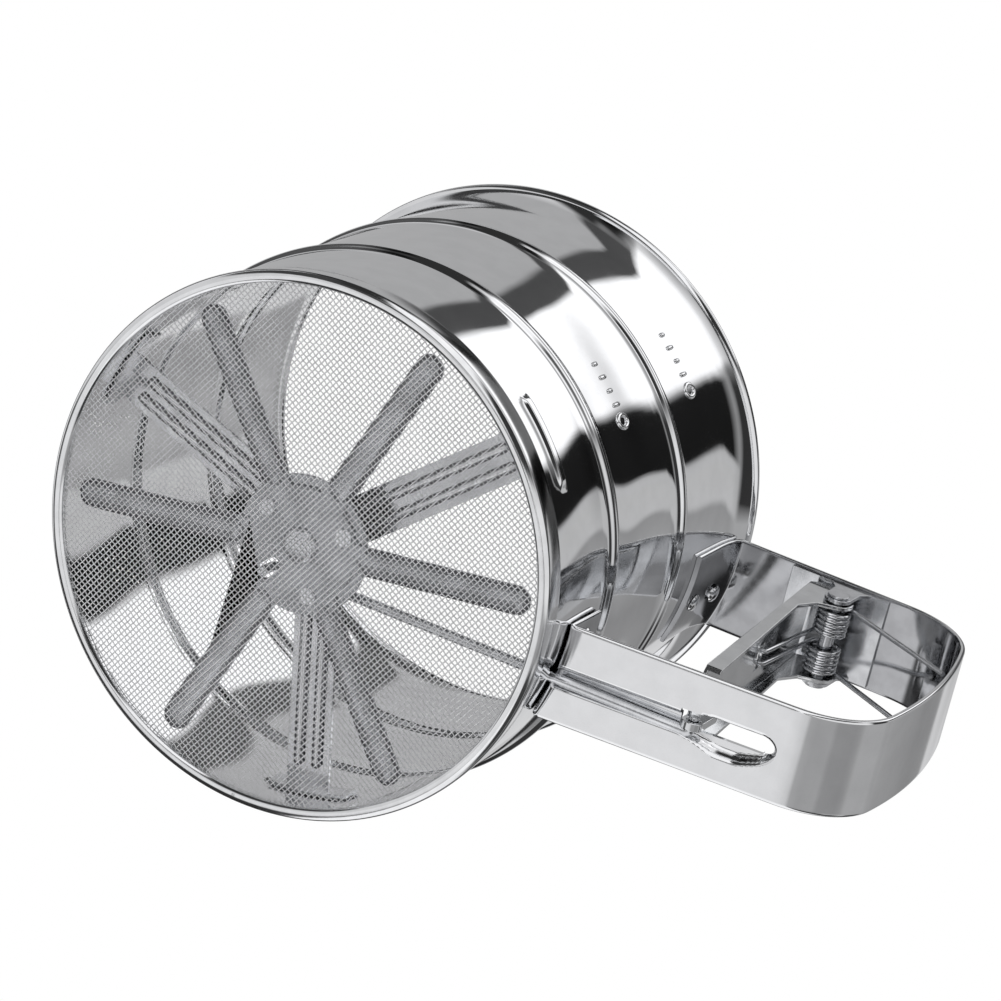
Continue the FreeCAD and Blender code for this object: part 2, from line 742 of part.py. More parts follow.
def trim_strap(strap):
    # room for the cup and its flare
    face, rim_z = wall + WALL_GAP, dim("cup_height") - 1.6
    profile = outline(strap, "CupRoom", "XZ_Plane", [
        (38.0, 8.0),
        (face, 8.0),
        (face, dim("flare_start"), dim("flare_radius"), -1),
        (dim("rim_outer") - 0.81, rim_z),
        (38.0, rim_z),
    ])
    groove(strap, profile, "CupClearance")
    # the outside of the lower bend
    profile = outline(strap, "BendLow", "XZ_Plane", [
        (wall - 0.5, foot_z - 1.5),
        (wall + 1.6, foot_z - 1.5),
        (wall + 1.6, foot_z + 0.18, 1.45, -1),
        (wall - 0.02, foot_z + 1.9),
        (wall - 0.5, foot_z + 1.9),
    ])
    groove(strap, profile, "LowerBend")
    # the strip's true width; a side with nothing to spare is left as it is
    depth = 12.0
    for name, start_y in (("SideLow", near_y), ("SideHigh", far_y + depth)):
        profile = outline(strap, name, "XZ_Plane", rectangle(40.0, 5.0, 70.0, 95.0),
                          shift=at_y(start_y))
        pocket(strap, profile, depth, name + "Trim", must_cut=False)


def build_strap():
    strap = new_body("Strap")
    add_strap_loop(strap)
    add_tabs(strap)
    add_channel_and_slot(strap)
    trim_strap(strap)
    tab_rivet_holes(strap, "TabRivetHole")
    publish(strap, "handle_strap")


def build_tab_rivets():
    """Four rivets hold the tabs on the wall."""
    shank, head, inner_end = DIM["tab_rivet"], DIM["tab_rivet_head"], 50.15
    rivets = []
    for i, (angle, height) in enumerate(TAB_RIVETS):
        # the tab leans out with the cup's flare, so a rivet above its start stands further out
        lean = max(0.0, height + head - DIM["flare_start"]) * 0.09
        seat = DIM["tab_outer"] + 0.06 + lean
        # radius about the rivet's axis, distance from the cup axis
        profile = [
            (0, inner_end), (head, inner_end), (head, 50.9), (shank, 50.9),
            (shank, seat), (head, seat), (head * 0.8, seat + 0.49),
            (head * 0.4, seat + 0.79), (0, seat + 0.86), (0, inner_end),
        ]
        wire = Part.makePolygon([Vector(radius, 0, along) for radius, along in profile])
        solid = Part.Face(wire).revolve(Vector(0, 0, 0), Vector(0, 0, 1), 360)
        # the rivet's axis, first along Z, is laid on X and turned to its place round the cup
        around_cup = FreeCAD.Rotation(Vector(0, 0, 1), angle)
        laid_down = FreeCAD.Rotation(Vector(0, 1, 0), 90)
        place = FreeCAD.Placement(Vector(0, 0, height), around_cup.multiply(laid_down))
        rivets.append(shape_object("TabRivet%d" % i, solid, place))
    publish(compound("TabRivets", rivets), "handle_rivets")


# ---------------------------------------------------------------- trigger
def build_trigger_bracket():
    """A plate under the upper arm with an ear each side that holds the pin."""
    thick, half = dim("bracket_sheet"), dim("bracket_half")
    top = arm_top - strap_sheet - 0.03
    plate_low = top - thick
    ear, flank = 2.7, 4.2
    bracket = new_body("Bracket")
    profile = outline(bracket, "BracketSide", "XZ_Plane", [
        (pivot_x - 13.0, plate_low),
        (pivot_x - flank, plate_low),
        (pivot_x - ear, plate_low - 2.4),
        (pivot_x - ear, pivot_z, ear, 1),
        (pivot_x + ear, pivot_z),
        (pivot_x + ear, plate_low - 2.4),
        (pivot_x + flank, plate_low),
        (pivot_x + 8.0, plate_low),
        (pivot_x + 8.0, top),
        (pivot_x - 13.0, top),
    ], shift=at_y(middle_y + half))
    pad(bracket, profile, half * 2, "BracketBlock")
    profile = outline(bracket, "BracketInside", "XZ_Plane",
                      rectangle(pivot_x - 20.0, pivot_z - 10.0, pivot_x + 20.0, plate_low),
                      shift=at_y(middle_y + half - thick))
    pocket(bracket, profile, (half - thick) * 2, "BracketHollow")
    profile = circles(bracket, "BracketBore", "XZ_Plane",
                      [(pivot_x, pivot_z, dim("pin_radius") + FIT_GAP)],
                      shift=at_y(middle_y + 12.0))
    pocket(bracket, profile, 24.0, "PinHoles")
    publish(bracket, "trigger_bracket")


def build_trigger_pin():
    pin = new_body("Pin")
    # sketch, feature, high-y end from the middle plane, length, radius beyond the shank's
    for sketch_name, name, end_y, length, extra in (
        ("PinShank", "Shank", 9.4, 18.8, 0.0),
        ("PinHead", "Head", -9.25, 0.5, 0.7),
        ("PinTail", "PeenedEnd", 9.75, 0.5, 0.5),
    ):
        profile = circles(pin, sketch_name, "XZ_Plane",
                          [(pivot_x, pivot_z, dim("pin_radius") + extra)],
                          shift=at_y(middle_y + end_y))
        pad(pin, profile, length, name)
    publish(pin, "trigger_pin")


def build_lever():
    """A pressed channel: the web faces the cup, the flanges point to the grip, ears at the top
    turn on the pin, and a tongue at the bottom reaches through the slot to hold the rod's
    hook."""
    half, thick = dim("lever_half"), dim("lever_sheet")
    web_top_x, web_top_z = pivot_x - 7.9, pivot_z + 5.0
    web_foot_x, web_foot_z = pivot_x - 2.4, pivot_z - 60.6
    lever = new_body("Lever")
    profile = outline(lever, "LeverSide", "XZ_Plane", [
        (web_top_x, web_top_z),
        (web_foot_x, web_foot_z),
        (pivot_x + 0.2, web_foot_z),
        (pivot_x + 0.6, pivot_z - 57.3),
        (pivot_x - 4.2, pivot_z - 9.5),
        (pivot_x - 2.2, pivot_z - 4.6),
        (pivot_x + 1.5, pivot_z - 2.94, 3.3, 1),
        (pivot_x + 1.5, pivot_z + 2.94),
        (pivot_x - 2.2, pivot_z + 5.8),
        (pivot_x - 6.6, pivot_z + 6.3),
    ], shift=at_y(middle_y + half))
    pad(lever, profile, half * 2, "LeverBlock")
    profile = outline(lever, "LeverInside", "XZ_Plane", [
        (web_top_x + thick - 0.32, web_top_z + 4.0),
        (web_foot_x + thick + 0.34, web_foot_z - 4.0),
        (pivot_x + 20.0, web_foot_z - 4.0),
        (pivot_x + 20.0, web_top_z + 4.0),
    ], shift=at_y(middle_y + half - thick))
    pocket(lever, profile, (half - thick) * 2, "LeverHollow")

    # cuts along X start between the cup and the lever
    before_lever, through = (0, 0, 60.0), 40.0
    # the foot narrows towards the tongue
    taper_top, taper_foot = pivot_z - 56.0, pivot_z - 62.0
    for side, name in ((-1, "TaperNear"), (1, "TaperFar")):
        clear_y = middle_y + half * side * 1.2
        profile = outline(lever, name + "Sketch", "YZ_Plane", [
            (clear_y, taper_top),
            (middle_y + half * side, taper_top),
            (middle_y + 2.6 * side, taper_foot),
            (clear_y, taper_foot),
        ], shift=before_lever)
        pocket(lever, profile, through, name)

    hook_x, hook_z, eye_half = dim("hook_x"), dim("hook_z"), 2.1
    profile = outline(lever, "Tongue", "XZ_Plane", [
        (pivot_x - 2.9, pivot_z - 52.0),
        (pivot_x - 2.2, pivot_z - 60.5),
        (hook_x - eye_half, hook_z + 2.0),
        (hook_x - eye_half, hook_z - 0.2, eye_half, 1),
        (hook_x + eye_half, hook_z - 0.2),
        (hook_x + eye_half, hook_z + 6.4),
        (pivot_x - 0.4, pivot_z - 52.0),
    ], shift=at_y(middle_y + dim("tongue_half")))
    pad(lever, profile, dim("tongue_half") * 2, "TongueBlade")
    profile = circles(lever, "LeverBore", "XZ_Plane", [
        (pivot_x, pivot_z, dim("pin_bore")),
        (hook_x, hook_z, dim("hook_bore")),
    ], shift=at_y(middle_y + 12.0))
    pocket(lever, profile, 24.0, "LeverHoles")
    profile = outline(lever, "SpringWindow", "YZ_Plane",
                      rectangle(middle_y - 2.5, pivot_z - 23.7, middle_y + 2.5, pivot_z - 20.6),
                      shift=before_lever)
    pocket(lever, profile, through, "SpringSlot")
    publish(lever, "trigger_lever")


# ---------------------------------------------------------------- bent wires
def bent(points, *radii):
    """Edges through the points with each corner rounded, by one radius or by one each."""
    edges = []
    last = points[0]
    for i in range(1, len(points) - 1):
        corner = points[i]
        radius = radii[min(i, len(radii)) - 1]
        back = (points[i - 1] - corner).normalize()
        ahead = (points[i + 1] - corner).normalize()
        half_angle = back.getAngle(ahead) / 2
        reach = radius / math.tan(half_angle)
        start, finish = corner + back * reach, corner + ahead * reach
        inward = (back + ahead).normalize()
        middle = corner + inward * (radius / math.sin(half_angle) - radius)
        edges.append(Part.makeLine(last, start))
        edges.append(Part.Arc(start, middle, finish).toShape())
        last = finish
    edges.append(Part.makeLine(last, points[-1]))
    return edges


def wire_solid(edges, radius):
    first = edges[0]
    start = first.valueAt(first.FirstParameter)
    direction = first.tangentAt(first.FirstParameter)
    ring = Part.Wire([Part.makeCircle(radius, start, direction)])
    return Part.Wire(edges).makePipeShell([ring], True, False)


def build_rod():
    """A crank pin turned down through the agitator, a straight run, and a hook."""
    points = [
        Vector(ROD_INNER.x, ROD_INNER.y, DIM["crank_tip"]),
        ROD_INNER,
        ROD_END,
        Vector(ROD_END.x, 6.75, ROD_END.z),
    ]
    solid = wire_solid(bent(points, 1.9, 1.2), DIM["rod_radius"])
    publish(shape_object("Rod", solid), "push_rod")


# Torsion spring: two close-wound coils round the trigger pin, each a stack of touching rings,
# joined by a loop that hooks in the lever's web, with a long leg from each coil to the grip.
RINGS = 6
COIL_IN = DIM["spring_inner"]  # the loop's legs stand this far each side of the middle plane
COIL_OUT = COIL_IN + (RINGS - 1) * DIM["spring_pitch"]
SPRING_AXIS = Vector(DIM["pivot_x"], DIM["strap_offset"], DIM["pivot_z"])


def on_spring(angle, y):
    """Point on the coil's mean circle, at y from the middle plane."""
    turn, radius = math.radians(angle), DIM["spring_mean"]
    return SPRING_AXIS + Vector(radius * math.cos(turn), y, radius * math.sin(turn))


def coil(side):
    """A row of overlapping wire circles turned about the pin's axis."""
    mean, pitch, wire_radius = DIM["spring_mean"], DIM["spring_pitch"], DIM["spring_wire"]
    lip = math.sqrt(wire_radius * wire_radius - pitch * pitch / 4)
    diagonal = wire_radius * math.cos(math.radians(45.0))

    def at(y, radius):
        return SPRING_AXIS + Vector(radius, side * y, 0)

    edges = []
    for way in (1, -1):
        for k in range(RINGS):
            y = COIL_IN + k * pitch
            start = at(y - pitch / 2, mean + way * lip)
            middle = at(y, mean + way * wire_radius)
            finish = at(y + pitch / 2, mean + way * lip)
            # the end rings run on to the coil's end
            if k == 0:
                start = at(y - wire_radius, mean)
                middle = at(y - diagonal, mean + way * diagonal)
            if k == RINGS - 1:
                middle = at(y + diagonal, mean + way * diagonal)
                finish = at(y + wire_radius, mean)
            edges.append(Part.Arc(start, middle, finish).toShape())
    wire = Part.Wire(Part.__sortEdges__(edges))
    return Part.Face(wire).revolve(SPRING_AXIS, Vector(0, 1, 0), 360)


def build_spring():
    leg_radius = DIM["spring_wire"] - 0.05
    leg_angle, leg_length, leg_tip_y = 60.3, 31.2, 7.25
    turn = math.radians(leg_angle)
    pieces = []
    for side in (-1, 1):
        pieces.append(coil(side))
        root = on_spring(leg_angle, side * COIL_OUT)
        tip = root + Vector(math.sin(turn), 0, -math.cos(turn)) * leg_length
        tip.y = SPRING_AXIS.y + side * leg_tip_y
        leg = tip - root
        pieces.append(Part.makeCylinder(leg_radius, leg.Length, root, leg))

    # the loop runs down from the coils, turns to the cup and crosses over
    loop_angle, loop_length, loop_reach, loop_bend = 176.8, 22.1, 6.45, 0.8
    drop = Vector(-0.0558, 0, -0.9984).normalize() * loop_length
    near, far = on_spring(loop_angle, -COIL_IN), on_spring(loop_angle, COIL_IN)
    near_foot, far_foot = near + drop, far + drop
    hook_x = SPRING_AXIS.x - loop_reach
    points = [
        near,
        near_foot,
        Vector(hook_x, near_foot.y, near_foot.z),
        Vector(hook_x, far_foot.y, far_foot.z),
        far_foot,
        far,
    ]
    pieces.append(wire_solid(bent(points, loop_bend), leg_radius))
    publish(shape_object("Spring", pieces[0].fuse(pieces[1:])), "torsion_spring")


# ---------------------------------------------------------------- build, check and export
build_cup()
build_hem()
build_screen_and_hoop()
build_spindle_bracket()
build_spindle()
build_spacer()
build_washers()
build_star()
build_crank_disc()
build_hub_rivets()
build_strap()
build_tab_rivets()
build_trigger_bracket()
build_trigger_pin()
build_lever()
build_rod()
build_spring()

doc.recompute()
problems = []
for item in doc.Objects:
    if "Invalid" in item.State or "Error" in item.State:
        problems.append("%s is %s" % (item.Name, item.State))
for label, item in PIECES.items():
    if item.Shape.isNull() or not item.Shape.isValid():
        problems.append("%s has a bad shape" % label)
    elif not item.Shape.Solids:
        problems.append("%s has no solid" % label)
if problems:
    raise RuntimeError("; ".join(problems))
for label, item in PIECES.items():
    item.Shape.exportStep(os.path.join("parts", label + ".step"))
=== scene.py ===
"""A metal flour sifter: a round cup with a woven screen, an agitator and a trigger handle.

The cup stands on Z, base at z = 0 and open rim at z = 93 mm. The handle reaches out along +X.
Shapes are in millimetres, placed in metres. The camera looks up at the base from -Z and -Y.
"""
import bpy
import bmesh
import math
from mathutils import Matrix, Vector


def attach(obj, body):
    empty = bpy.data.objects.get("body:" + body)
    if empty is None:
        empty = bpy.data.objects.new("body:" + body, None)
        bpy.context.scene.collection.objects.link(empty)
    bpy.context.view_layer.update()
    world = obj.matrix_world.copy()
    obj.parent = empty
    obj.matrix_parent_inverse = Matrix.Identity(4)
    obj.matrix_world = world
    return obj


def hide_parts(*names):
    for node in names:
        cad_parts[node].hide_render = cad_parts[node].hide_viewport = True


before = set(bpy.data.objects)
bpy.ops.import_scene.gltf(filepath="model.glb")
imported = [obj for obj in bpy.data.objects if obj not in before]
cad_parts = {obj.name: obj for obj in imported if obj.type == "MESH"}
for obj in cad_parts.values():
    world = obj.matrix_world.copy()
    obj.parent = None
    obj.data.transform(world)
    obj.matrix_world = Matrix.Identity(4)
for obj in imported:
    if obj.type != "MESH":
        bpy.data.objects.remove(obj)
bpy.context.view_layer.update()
scene = bpy.context.scene
MM = 0.001

# Driving dimensions, used by more than one piece
WALL_RADIUS = 51.5
BRACKET_ANGLES = (-41.0, 79.0, 199.0)   # the spindle bracket's arms, degrees about Z
ARM_ANGLE = 5.65                        # slope of the handle's lower arm, degrees
ARM_RISE = math.tan(math.radians(ARM_ANGLE))
STRIP_Y0, STRIP_Y1 = -1.55, 17.95       # long edges of the handle strip
VIEW_X, VIEW_Y = -0.3565, 0.3345        # sideways parts of the camera's view direction


# ------------------------------------------------------------------ shader helpers
def add_node(tree, kind, inputs, **settings):
    """New node; each input takes a value, or a link where an output socket is given."""
    node = tree.nodes.new(kind)
    for setting, value in settings.items():
        setattr(node, setting, value)
    for key, value in inputs.items():
        if isinstance(value, bpy.types.NodeSocket):
            tree.links.new(value, node.inputs[key])
        else:
            node.inputs[key].default_value = value
    return node


def color_ramp(tree, source, stops):
    """Color ramp through (position, color) stops."""
    node = add_node(tree, "ShaderNodeValToRGB", {0: source})
    elements = node.color_ramp.elements
    elements.remove(elements[-1])
    elements[0].position, elements[0].color = stops[0]
    for position, color in stops[1:]:
        elements.new(position).color = color
    return node.outputs[0]


def new_material(name):
    material = bpy.data.materials.new(name)
    material.use_nodes = True
    material.node_tree.nodes.clear()
    return material, material.node_tree


# ------------------------------------------------------------------ metals
def metal(name, color, rough, grain_scale, grain_bump, dull,
          grain=(1, 1, 1), wave_bump=0.0, metallic=1.0):
    """Bare metal with smudged roughness, a grain, small scratches and faint waviness.

    rough: lowest and highest roughness; grain: stretch of the grain pattern;
    dull: how much darker the grime makes the color.
    """
    material, tree = new_material(name)
    coord = add_node(tree, "ShaderNodeTexCoord", {})

    def noise(scale, detail, stretch=(1, 1, 1), distortion=0.0):
        mapping = add_node(tree, "ShaderNodeMapping",
                           {"Scale": stretch, "Vector": coord.outputs["Object"]})
        return add_node(tree, "ShaderNodeTexNoise", {
            "Scale": scale, "Detail": detail, "Distortion": distortion,
            "Vector": mapping.outputs[0]}).outputs["Fac"]

    def bump(height, strength, distance, **normal):
        return add_node(tree, "ShaderNodeBump", {
            "Strength": strength, "Distance": distance, "Height": height, **normal}).outputs[0]

    smudge = noise(scale=55.0, detail=5.0, distortion=0.6)
    grime = noise(scale=210.0, detail=6.0)
    fine = noise(scale=grain_scale, detail=3.0, stretch=grain)
    scratch = noise(scale=2600.0, detail=1.0, stretch=(1.0, 0.06, 0.06))

    rough_low, rough_high = rough
    smudged = add_node(tree, "ShaderNodeMapRange", {
        "From Min": 0.3, "From Max": 0.75, "To Min": rough_low, "To Max": rough_high,
        "Value": smudge})
    grain_share = 0.6   # of the roughness range, added by the grain
    roughness = add_node(tree, "ShaderNodeMath", {
        0: fine, 1: (rough_high - rough_low) * grain_share, 2: smudged.outputs[0]},
        operation="MULTIPLY_ADD")
    base_color = color_ramp(tree, grime, [
        (0.35, tuple(channel * (1 - dull) for channel in color) + (1,)),
        (0.62, color + (1,))])

    normal = bump(fine, strength=grain_bump, distance=0.0002)
    normal = bump(scratch, strength=grain_bump * 0.6, distance=0.0001, Normal=normal)
    if wave_bump:
        waves = noise(scale=27.0, detail=0.0)
        normal = bump(waves, strength=wave_bump, distance=0.006, Normal=normal)
    surface = add_node(tree, "ShaderNodeBsdfPrincipled", {
        "Base Color": base_color, "Metallic": metallic,
        "Roughness": roughness.outputs[0], "Normal": normal})
    add_node(tree, "ShaderNodeOutputMaterial", {0: surface.outputs[0]})
    return material


CHROME = metal("polished_cup_metal", color=(0.88, 0.885, 0.895), rough=(0.02, 0.07),
               grain=(1, 1, 0.12), grain_scale=900.0, grain_bump=0.006, wave_bump=0.55, dull=0.05)
STRAP = metal("polished_strap_metal", color=(0.87, 0.875, 0.885), rough=(0.03, 0.09),
              grain_scale=900.0, grain_bump=0.006, wave_bump=0.06, dull=0.05)
# painted shade: a darker copy of the strap metal, for the faces inside the handle loop
STRAP_INNER_SHADE = metal("strap_inner_painted_shade", color=(0.52, 0.525, 0.54), rough=(0.05, 0.12),
                    grain_scale=900.0, grain_bump=0.01, wave_bump=0.45, dull=0.15)
HEM = metal("rolled_hem_metal", color=(0.86, 0.865, 0.875), rough=(0.04, 0.12),
            grain=(1, 1, 0.2), grain_scale=800.0, grain_bump=0.012, wave_bump=0.10, dull=0.08)
PRESSED = metal("pressed_steel", color=(0.80, 0.81, 0.83), rough=(0.08, 0.20),
                grain=(1, 0.2, 1), grain_scale=700.0, grain_bump=0.04, wave_bump=0.08, dull=0.20)
TUMBLED = metal("tumbled_steel", color=(0.56, 0.57, 0.59), rough=(0.12, 0.26),
                grain_scale=650.0, grain_bump=0.06, wave_bump=0.25, dull=0.22)
WIRE = metal("drawn_wire", color=(0.93, 0.935, 0.945), rough=(0.14, 0.26),
             grain=(0.3, 1, 1), grain_scale=1500.0, grain_bump=0.04, dull=0.10, metallic=0.82)
SPRING = metal("spring_wire", color=(0.74, 0.75, 0.77), rough=(0.08, 0.18),
               grain_scale=1800.0, grain_bump=0.04, dull=0.20)
# painted shade: a dark metal for thin strips round the ribs' roots, where shade falls in the
# creases
EDGE_SHADE = metal("painted_edge_shade", color=(0.20, 0.20, 0.21), rough=(0.22, 0.38),
                  grain_scale=700.0, grain_bump=0.05, dull=0.20)
LEVER = metal("trigger_metal", color=(0.82, 0.83, 0.84), rough=(0.04, 0.12),
              grain=(1, 1, 0.15), grain_scale=900.0, grain_bump=0.015, wave_bump=0.05, dull=0.10)


# ------------------------------------------------------------------ objects
def new_mesh(name, shape):
    """Mesh from (verts, faces) in millimetres."""
    verts, faces = shape
    mesh = bpy.data.meshes.new(name)
    mesh.from_pydata([tuple(value * MM for value in vert) for vert in verts], [], faces)
    return mesh


def clean_mesh(mesh, merge, sharp_angle, flat_angle=None):
    """Merge doubles, dissolve nearly flat edges if asked, and shade smooth."""
    bm = bmesh.new()
    bm.from_mesh(mesh)
    bmesh.ops.remove_doubles(bm, verts=bm.verts, dist=merge)
    if flat_angle:
        bmesh.ops.dissolve_limit(bm, angle_limit=math.radians(flat_angle),
                                 verts=bm.verts, edges=bm.edges)
    bmesh.ops.recalc_face_normals(bm, faces=bm.faces)
    bm.to_mesh(mesh)
    bm.free()
    mesh.materials.clear()
    mesh.validate()
    mesh.polygons.foreach_set("use_smooth", [True] * len(mesh.polygons))
    mesh.set_sharp_from_angle(angle=math.radians(sharp_angle))
    mesh.update()


def add_object(name, mesh, body, material, replaced=None, bevel=0.0, bevel_angle=50):
    obj = bpy.data.objects.new(name, mesh)
    scene.collection.objects.link(obj)
    mesh.materials.append(material)
    if bevel:
        edge = obj.modifiers.new("edge", "BEVEL")
        edge.width = bevel * MM
        edge.segments = 2
        edge.limit_method = "ANGLE"
        edge.angle_limit = math.radians(bevel_angle)
        edge.harden_normals = True
    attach(obj, body)
    if replaced:
        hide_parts(replaced)
    return obj


def add_piece(name, shape, body, material, replaced=None, sharp_angle=50, bevel=0.0):
    mesh = new_mesh(name, shape)
    clean_mesh(mesh, merge=1e-7, sharp_angle=sharp_angle)
    return add_object(name, mesh, body, material, replaced, bevel)


def finish_cad(node, body, material, slot, bevel):
    """The CAD node's own shape with clean faces, rounded edges and smooth curves."""
    name = node + "_finished"
    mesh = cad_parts[node].data.copy()
    mesh.name = name
    clean_mesh(mesh, merge=2e-7, sharp_angle=28, flat_angle=0.6)
    add_object(name, mesh, body, material, node, bevel, bevel_angle=40)


# ------------------------------------------------------------------ shape helpers
def smoothstep(start, end, value):
    share = min(max((value - start) / (end - start), 0.0), 1.0)
    return share * share * (3 - 2 * share)


def spread(start, end, count):
    """Even values from start, stopping one step short of end."""
    return [start + (end - start) * i / count for i in range(count)]


def arc(centre_x, centre_z, radius, start, end, steps):
    """Points on an arc between two angles in degrees, both ends included."""
    angles = [math.radians(start + (end - start) * i / steps) for i in range(steps + 1)]
    return [(centre_x + radius * math.cos(angle), centre_z + radius * math.sin(angle))
            for angle in angles]


def join(parts):
    verts, faces = [], []
    for part_verts, part_faces in parts:
        base = len(verts)
        verts += part_verts
        faces += [tuple(base + i for i in face) for face in part_faces]
    return verts, faces


def bands(rings, sides):
    """Quads between consecutive rings of vertices."""
    return [(k * sides + i, k * sides + (i + 1) % sides,
             (k + 1) * sides + (i + 1) % sides, (k + 1) * sides + i)
            for k in range(rings - 1) for i in range(sides)]


def capped_bands(rings, sides):
    caps = [tuple(reversed(range(sides))), tuple((rings - 1) * sides + i for i in range(sides))]
    return bands(rings, sides) + caps


def closed_bands(count, sides):
    """Quads of a body that closes both along its rings and round each ring."""
    faces = []
    for i in range(count):
        j = (i + 1) % count
        for k in range(sides):
            m = (k + 1) % sides
            faces.append((i * sides + k, j * sides + k, j * sides + m, i * sides + m))
    return faces


def lathe(profile, count):
    """Closed profile of (radius, height) turned about Z."""
    verts = []
    for i in range(count):
        angle = 2 * math.pi * i / count
        verts += [(radius * math.cos(angle), radius * math.sin(angle), z)
                  for radius, z in profile]
    return verts, closed_bands(count, len(profile))


def tube(points, radius, sides):
    """Round wire along a list of points, with closed ends."""
    points = [Vector(point) for point in points]
    steps = [(after - before).normalized() for before, after in zip(points, points[1:])]
    middle = [(after + before).normalized() for before, after in zip(steps, steps[1:])]
    direction = steps[0]
    side = direction.orthogonal().normalized()
    verts = []
    for point, heading in zip(points, [steps[0]] + middle + [steps[-1]]):
        side = (direction.rotation_difference(heading) @ side).normalized()
        direction = heading
        up = direction.cross(side)
        for i in range(sides):
            angle = 2 * math.pi * i / sides
            verts.append(tuple(point + side * (radius * math.cos(angle))
                               + up * (radius * math.sin(angle))))
    return verts, capped_bands(len(points), sides)


def rounded(points, radii, steps):
    """The path through the points, with an arc of the given radius at each inner corner."""
    points = [Vector(point) for point in points]
    path = [points[0]]
    for before, corner, after, radius in zip(points, points[1:], points[2:], radii):
        to_before = (before - corner).normalized()
        to_after = (after - corner).normalized()
        half = to_before.angle(to_after) / 2
        reach = radius / math.tan(half)
        centre = corner + (to_before + to_after).normalized() * (radius / math.sin(half))
        first = corner + to_before * reach - centre
        last = corner + to_after * reach - centre
        turn = first.angle(last)
        for i in range(steps + 1):
            share = i / steps
            spoke = (first * math.sin((1 - share) * turn)
                     + last * math.sin(share * turn)) / math.sin(turn)
            path.append(centre + spoke)
    path.append(points[-1])
    return path


# ------------------------------------------------------------------ cup
SHEET = 0.5
CUP_BOTTOM, CUP_TOP = 2.65, 91.6
BEADS_Z = (30.0, 61.0)
BEAD_HALF, BEAD_LIFT = 2.6, 0.95
FLARE_START, FLARE_RADIUS = 82.0, 28.76
# pressed bars above the hem, in line with the bracket's arms
BAR_Z, BAR_LIFT = 12.2, 0.75
BAR_HALF_ANGLE, BAR_HALF_HEIGHT = 10.6, 1.9


def wall_radius(z):
    """Outer radius of the wall, with its rolled beads and the flare under the rim."""
    radius = WALL_RADIUS
    for bead_z in BEADS_Z:
        away = abs(z - bead_z)
        if away < BEAD_HALF:
            radius += BEAD_LIFT * (0.5 + 0.5 * math.cos(math.pi * away / BEAD_HALF)) ** 1.25
    if z > FLARE_START:
        radius += FLARE_RADIUS - math.sqrt(FLARE_RADIUS ** 2 - (z - FLARE_START) ** 2)
    return radius


def bar_lift(degrees, z):
    away = min(abs((degrees - bar + 180.0) % 360.0 - 180.0) for bar in BRACKET_ANGLES)
    along = away / BAR_HALF_ANGLE
    across = abs(z - BAR_Z) / BAR_HALF_HEIGHT
    return BAR_LIFT * (1 - smoothstep(0.80, 1.05, along)) * (1 - smoothstep(0.35, 1.05, across))


def cup_heights():
    """Profile heights, closer together over the beads, the bars and the flare."""
    heights = []
    z = CUP_BOTTOM
    while z < CUP_TOP:
        heights.append(z)
        if any(abs(z - bead_z) < 3.2 for bead_z in BEADS_Z) or 9.2 < z < 15.2:
            z += 0.30
        else:
            z += 1.1 if z > 81.0 else 2.0
    return heights + [CUP_TOP]


def cup_wall():
    outer = [(wall_radius(z), z) for z in cup_heights()]
    inner = [(radius - SHEET, z) for radius, z in reversed(outer)]
    rim = arc(53.2, 92.35, radius=0.85, start=-55, end=179, steps=12) + [(52.5, 91.9)]
    profile = outer + rim + inner
    count = 440
    verts, faces = lathe(profile, count)
    for i in range(count):
        degrees = 360.0 * i / count
        angle = math.radians(degrees)
        for k, (outside, z) in enumerate(outer):
            lift = bar_lift(degrees, z)
            if lift > 0:
                # the bar is pressed through the sheet, so both faces move
                for place, base in ((k, outside), (len(profile) - 1 - k, outside - SHEET)):
                    radius = base + lift
                    verts[i * len(profile) + place] = (
                        radius * math.cos(angle), radius * math.sin(angle), z)
    return verts, faces


add_piece("cup_wall", cup_wall(), "root", CHROME, "cup_shell")

# ------------------------------------------------------------------ measuring marks
MARK_ROWS_Z = (43.0, 73.5)
TICKS = ((-51.5, 2.4), (-48.3, 3.3), (-45.1, 2.4), (-41.9, 3.3))    # angle, height of the tick
TICK_WIDTH, TICK_LIFT, TICK_SINK = 1.05, 0.42, 0.15
RING_ANGLE = -38.2
RING_HALF_WIDTH, RING_HALF_HEIGHT, RING_WIRE = 1.25, 1.75, 0.50


def on_wall(degrees, z, along, lift):
    """Point at a distance along the wall from an angle, lifted off the surface."""
    angle = math.radians(degrees) + along / WALL_RADIUS
    radius = WALL_RADIUS + lift
    return (radius * math.cos(angle), radius * math.sin(angle), z)


def tick(degrees, z, height):
    """A raised dome with a rounded, oblong outline."""
    rings, count = 5, 18
    verts = []
    for k in range(rings):
        slope = k / rings * math.pi / 2
        size = math.cos(slope)
        lift = -TICK_SINK + (TICK_LIFT + TICK_SINK) * math.sin(slope)
        for i in range(count):
            angle = 2 * math.pi * i / count
            cosine, sine = math.cos(angle), math.sin(angle)
            along = size * TICK_WIDTH / 2 * math.copysign(abs(cosine) ** 0.7, cosine)
            up = size * height / 2 * math.copysign(abs(sine) ** 0.7, sine)
            verts.append(on_wall(degrees, z + up, along, lift))
    verts.append(on_wall(degrees, z, 0, TICK_LIFT))
    last = (rings - 1) * count
    faces = bands(rings, count)
    faces += [(last + i, last + (i + 1) % count, rings * count) for i in range(count)]
    faces.append(tuple(reversed(range(count))))
    return verts, faces


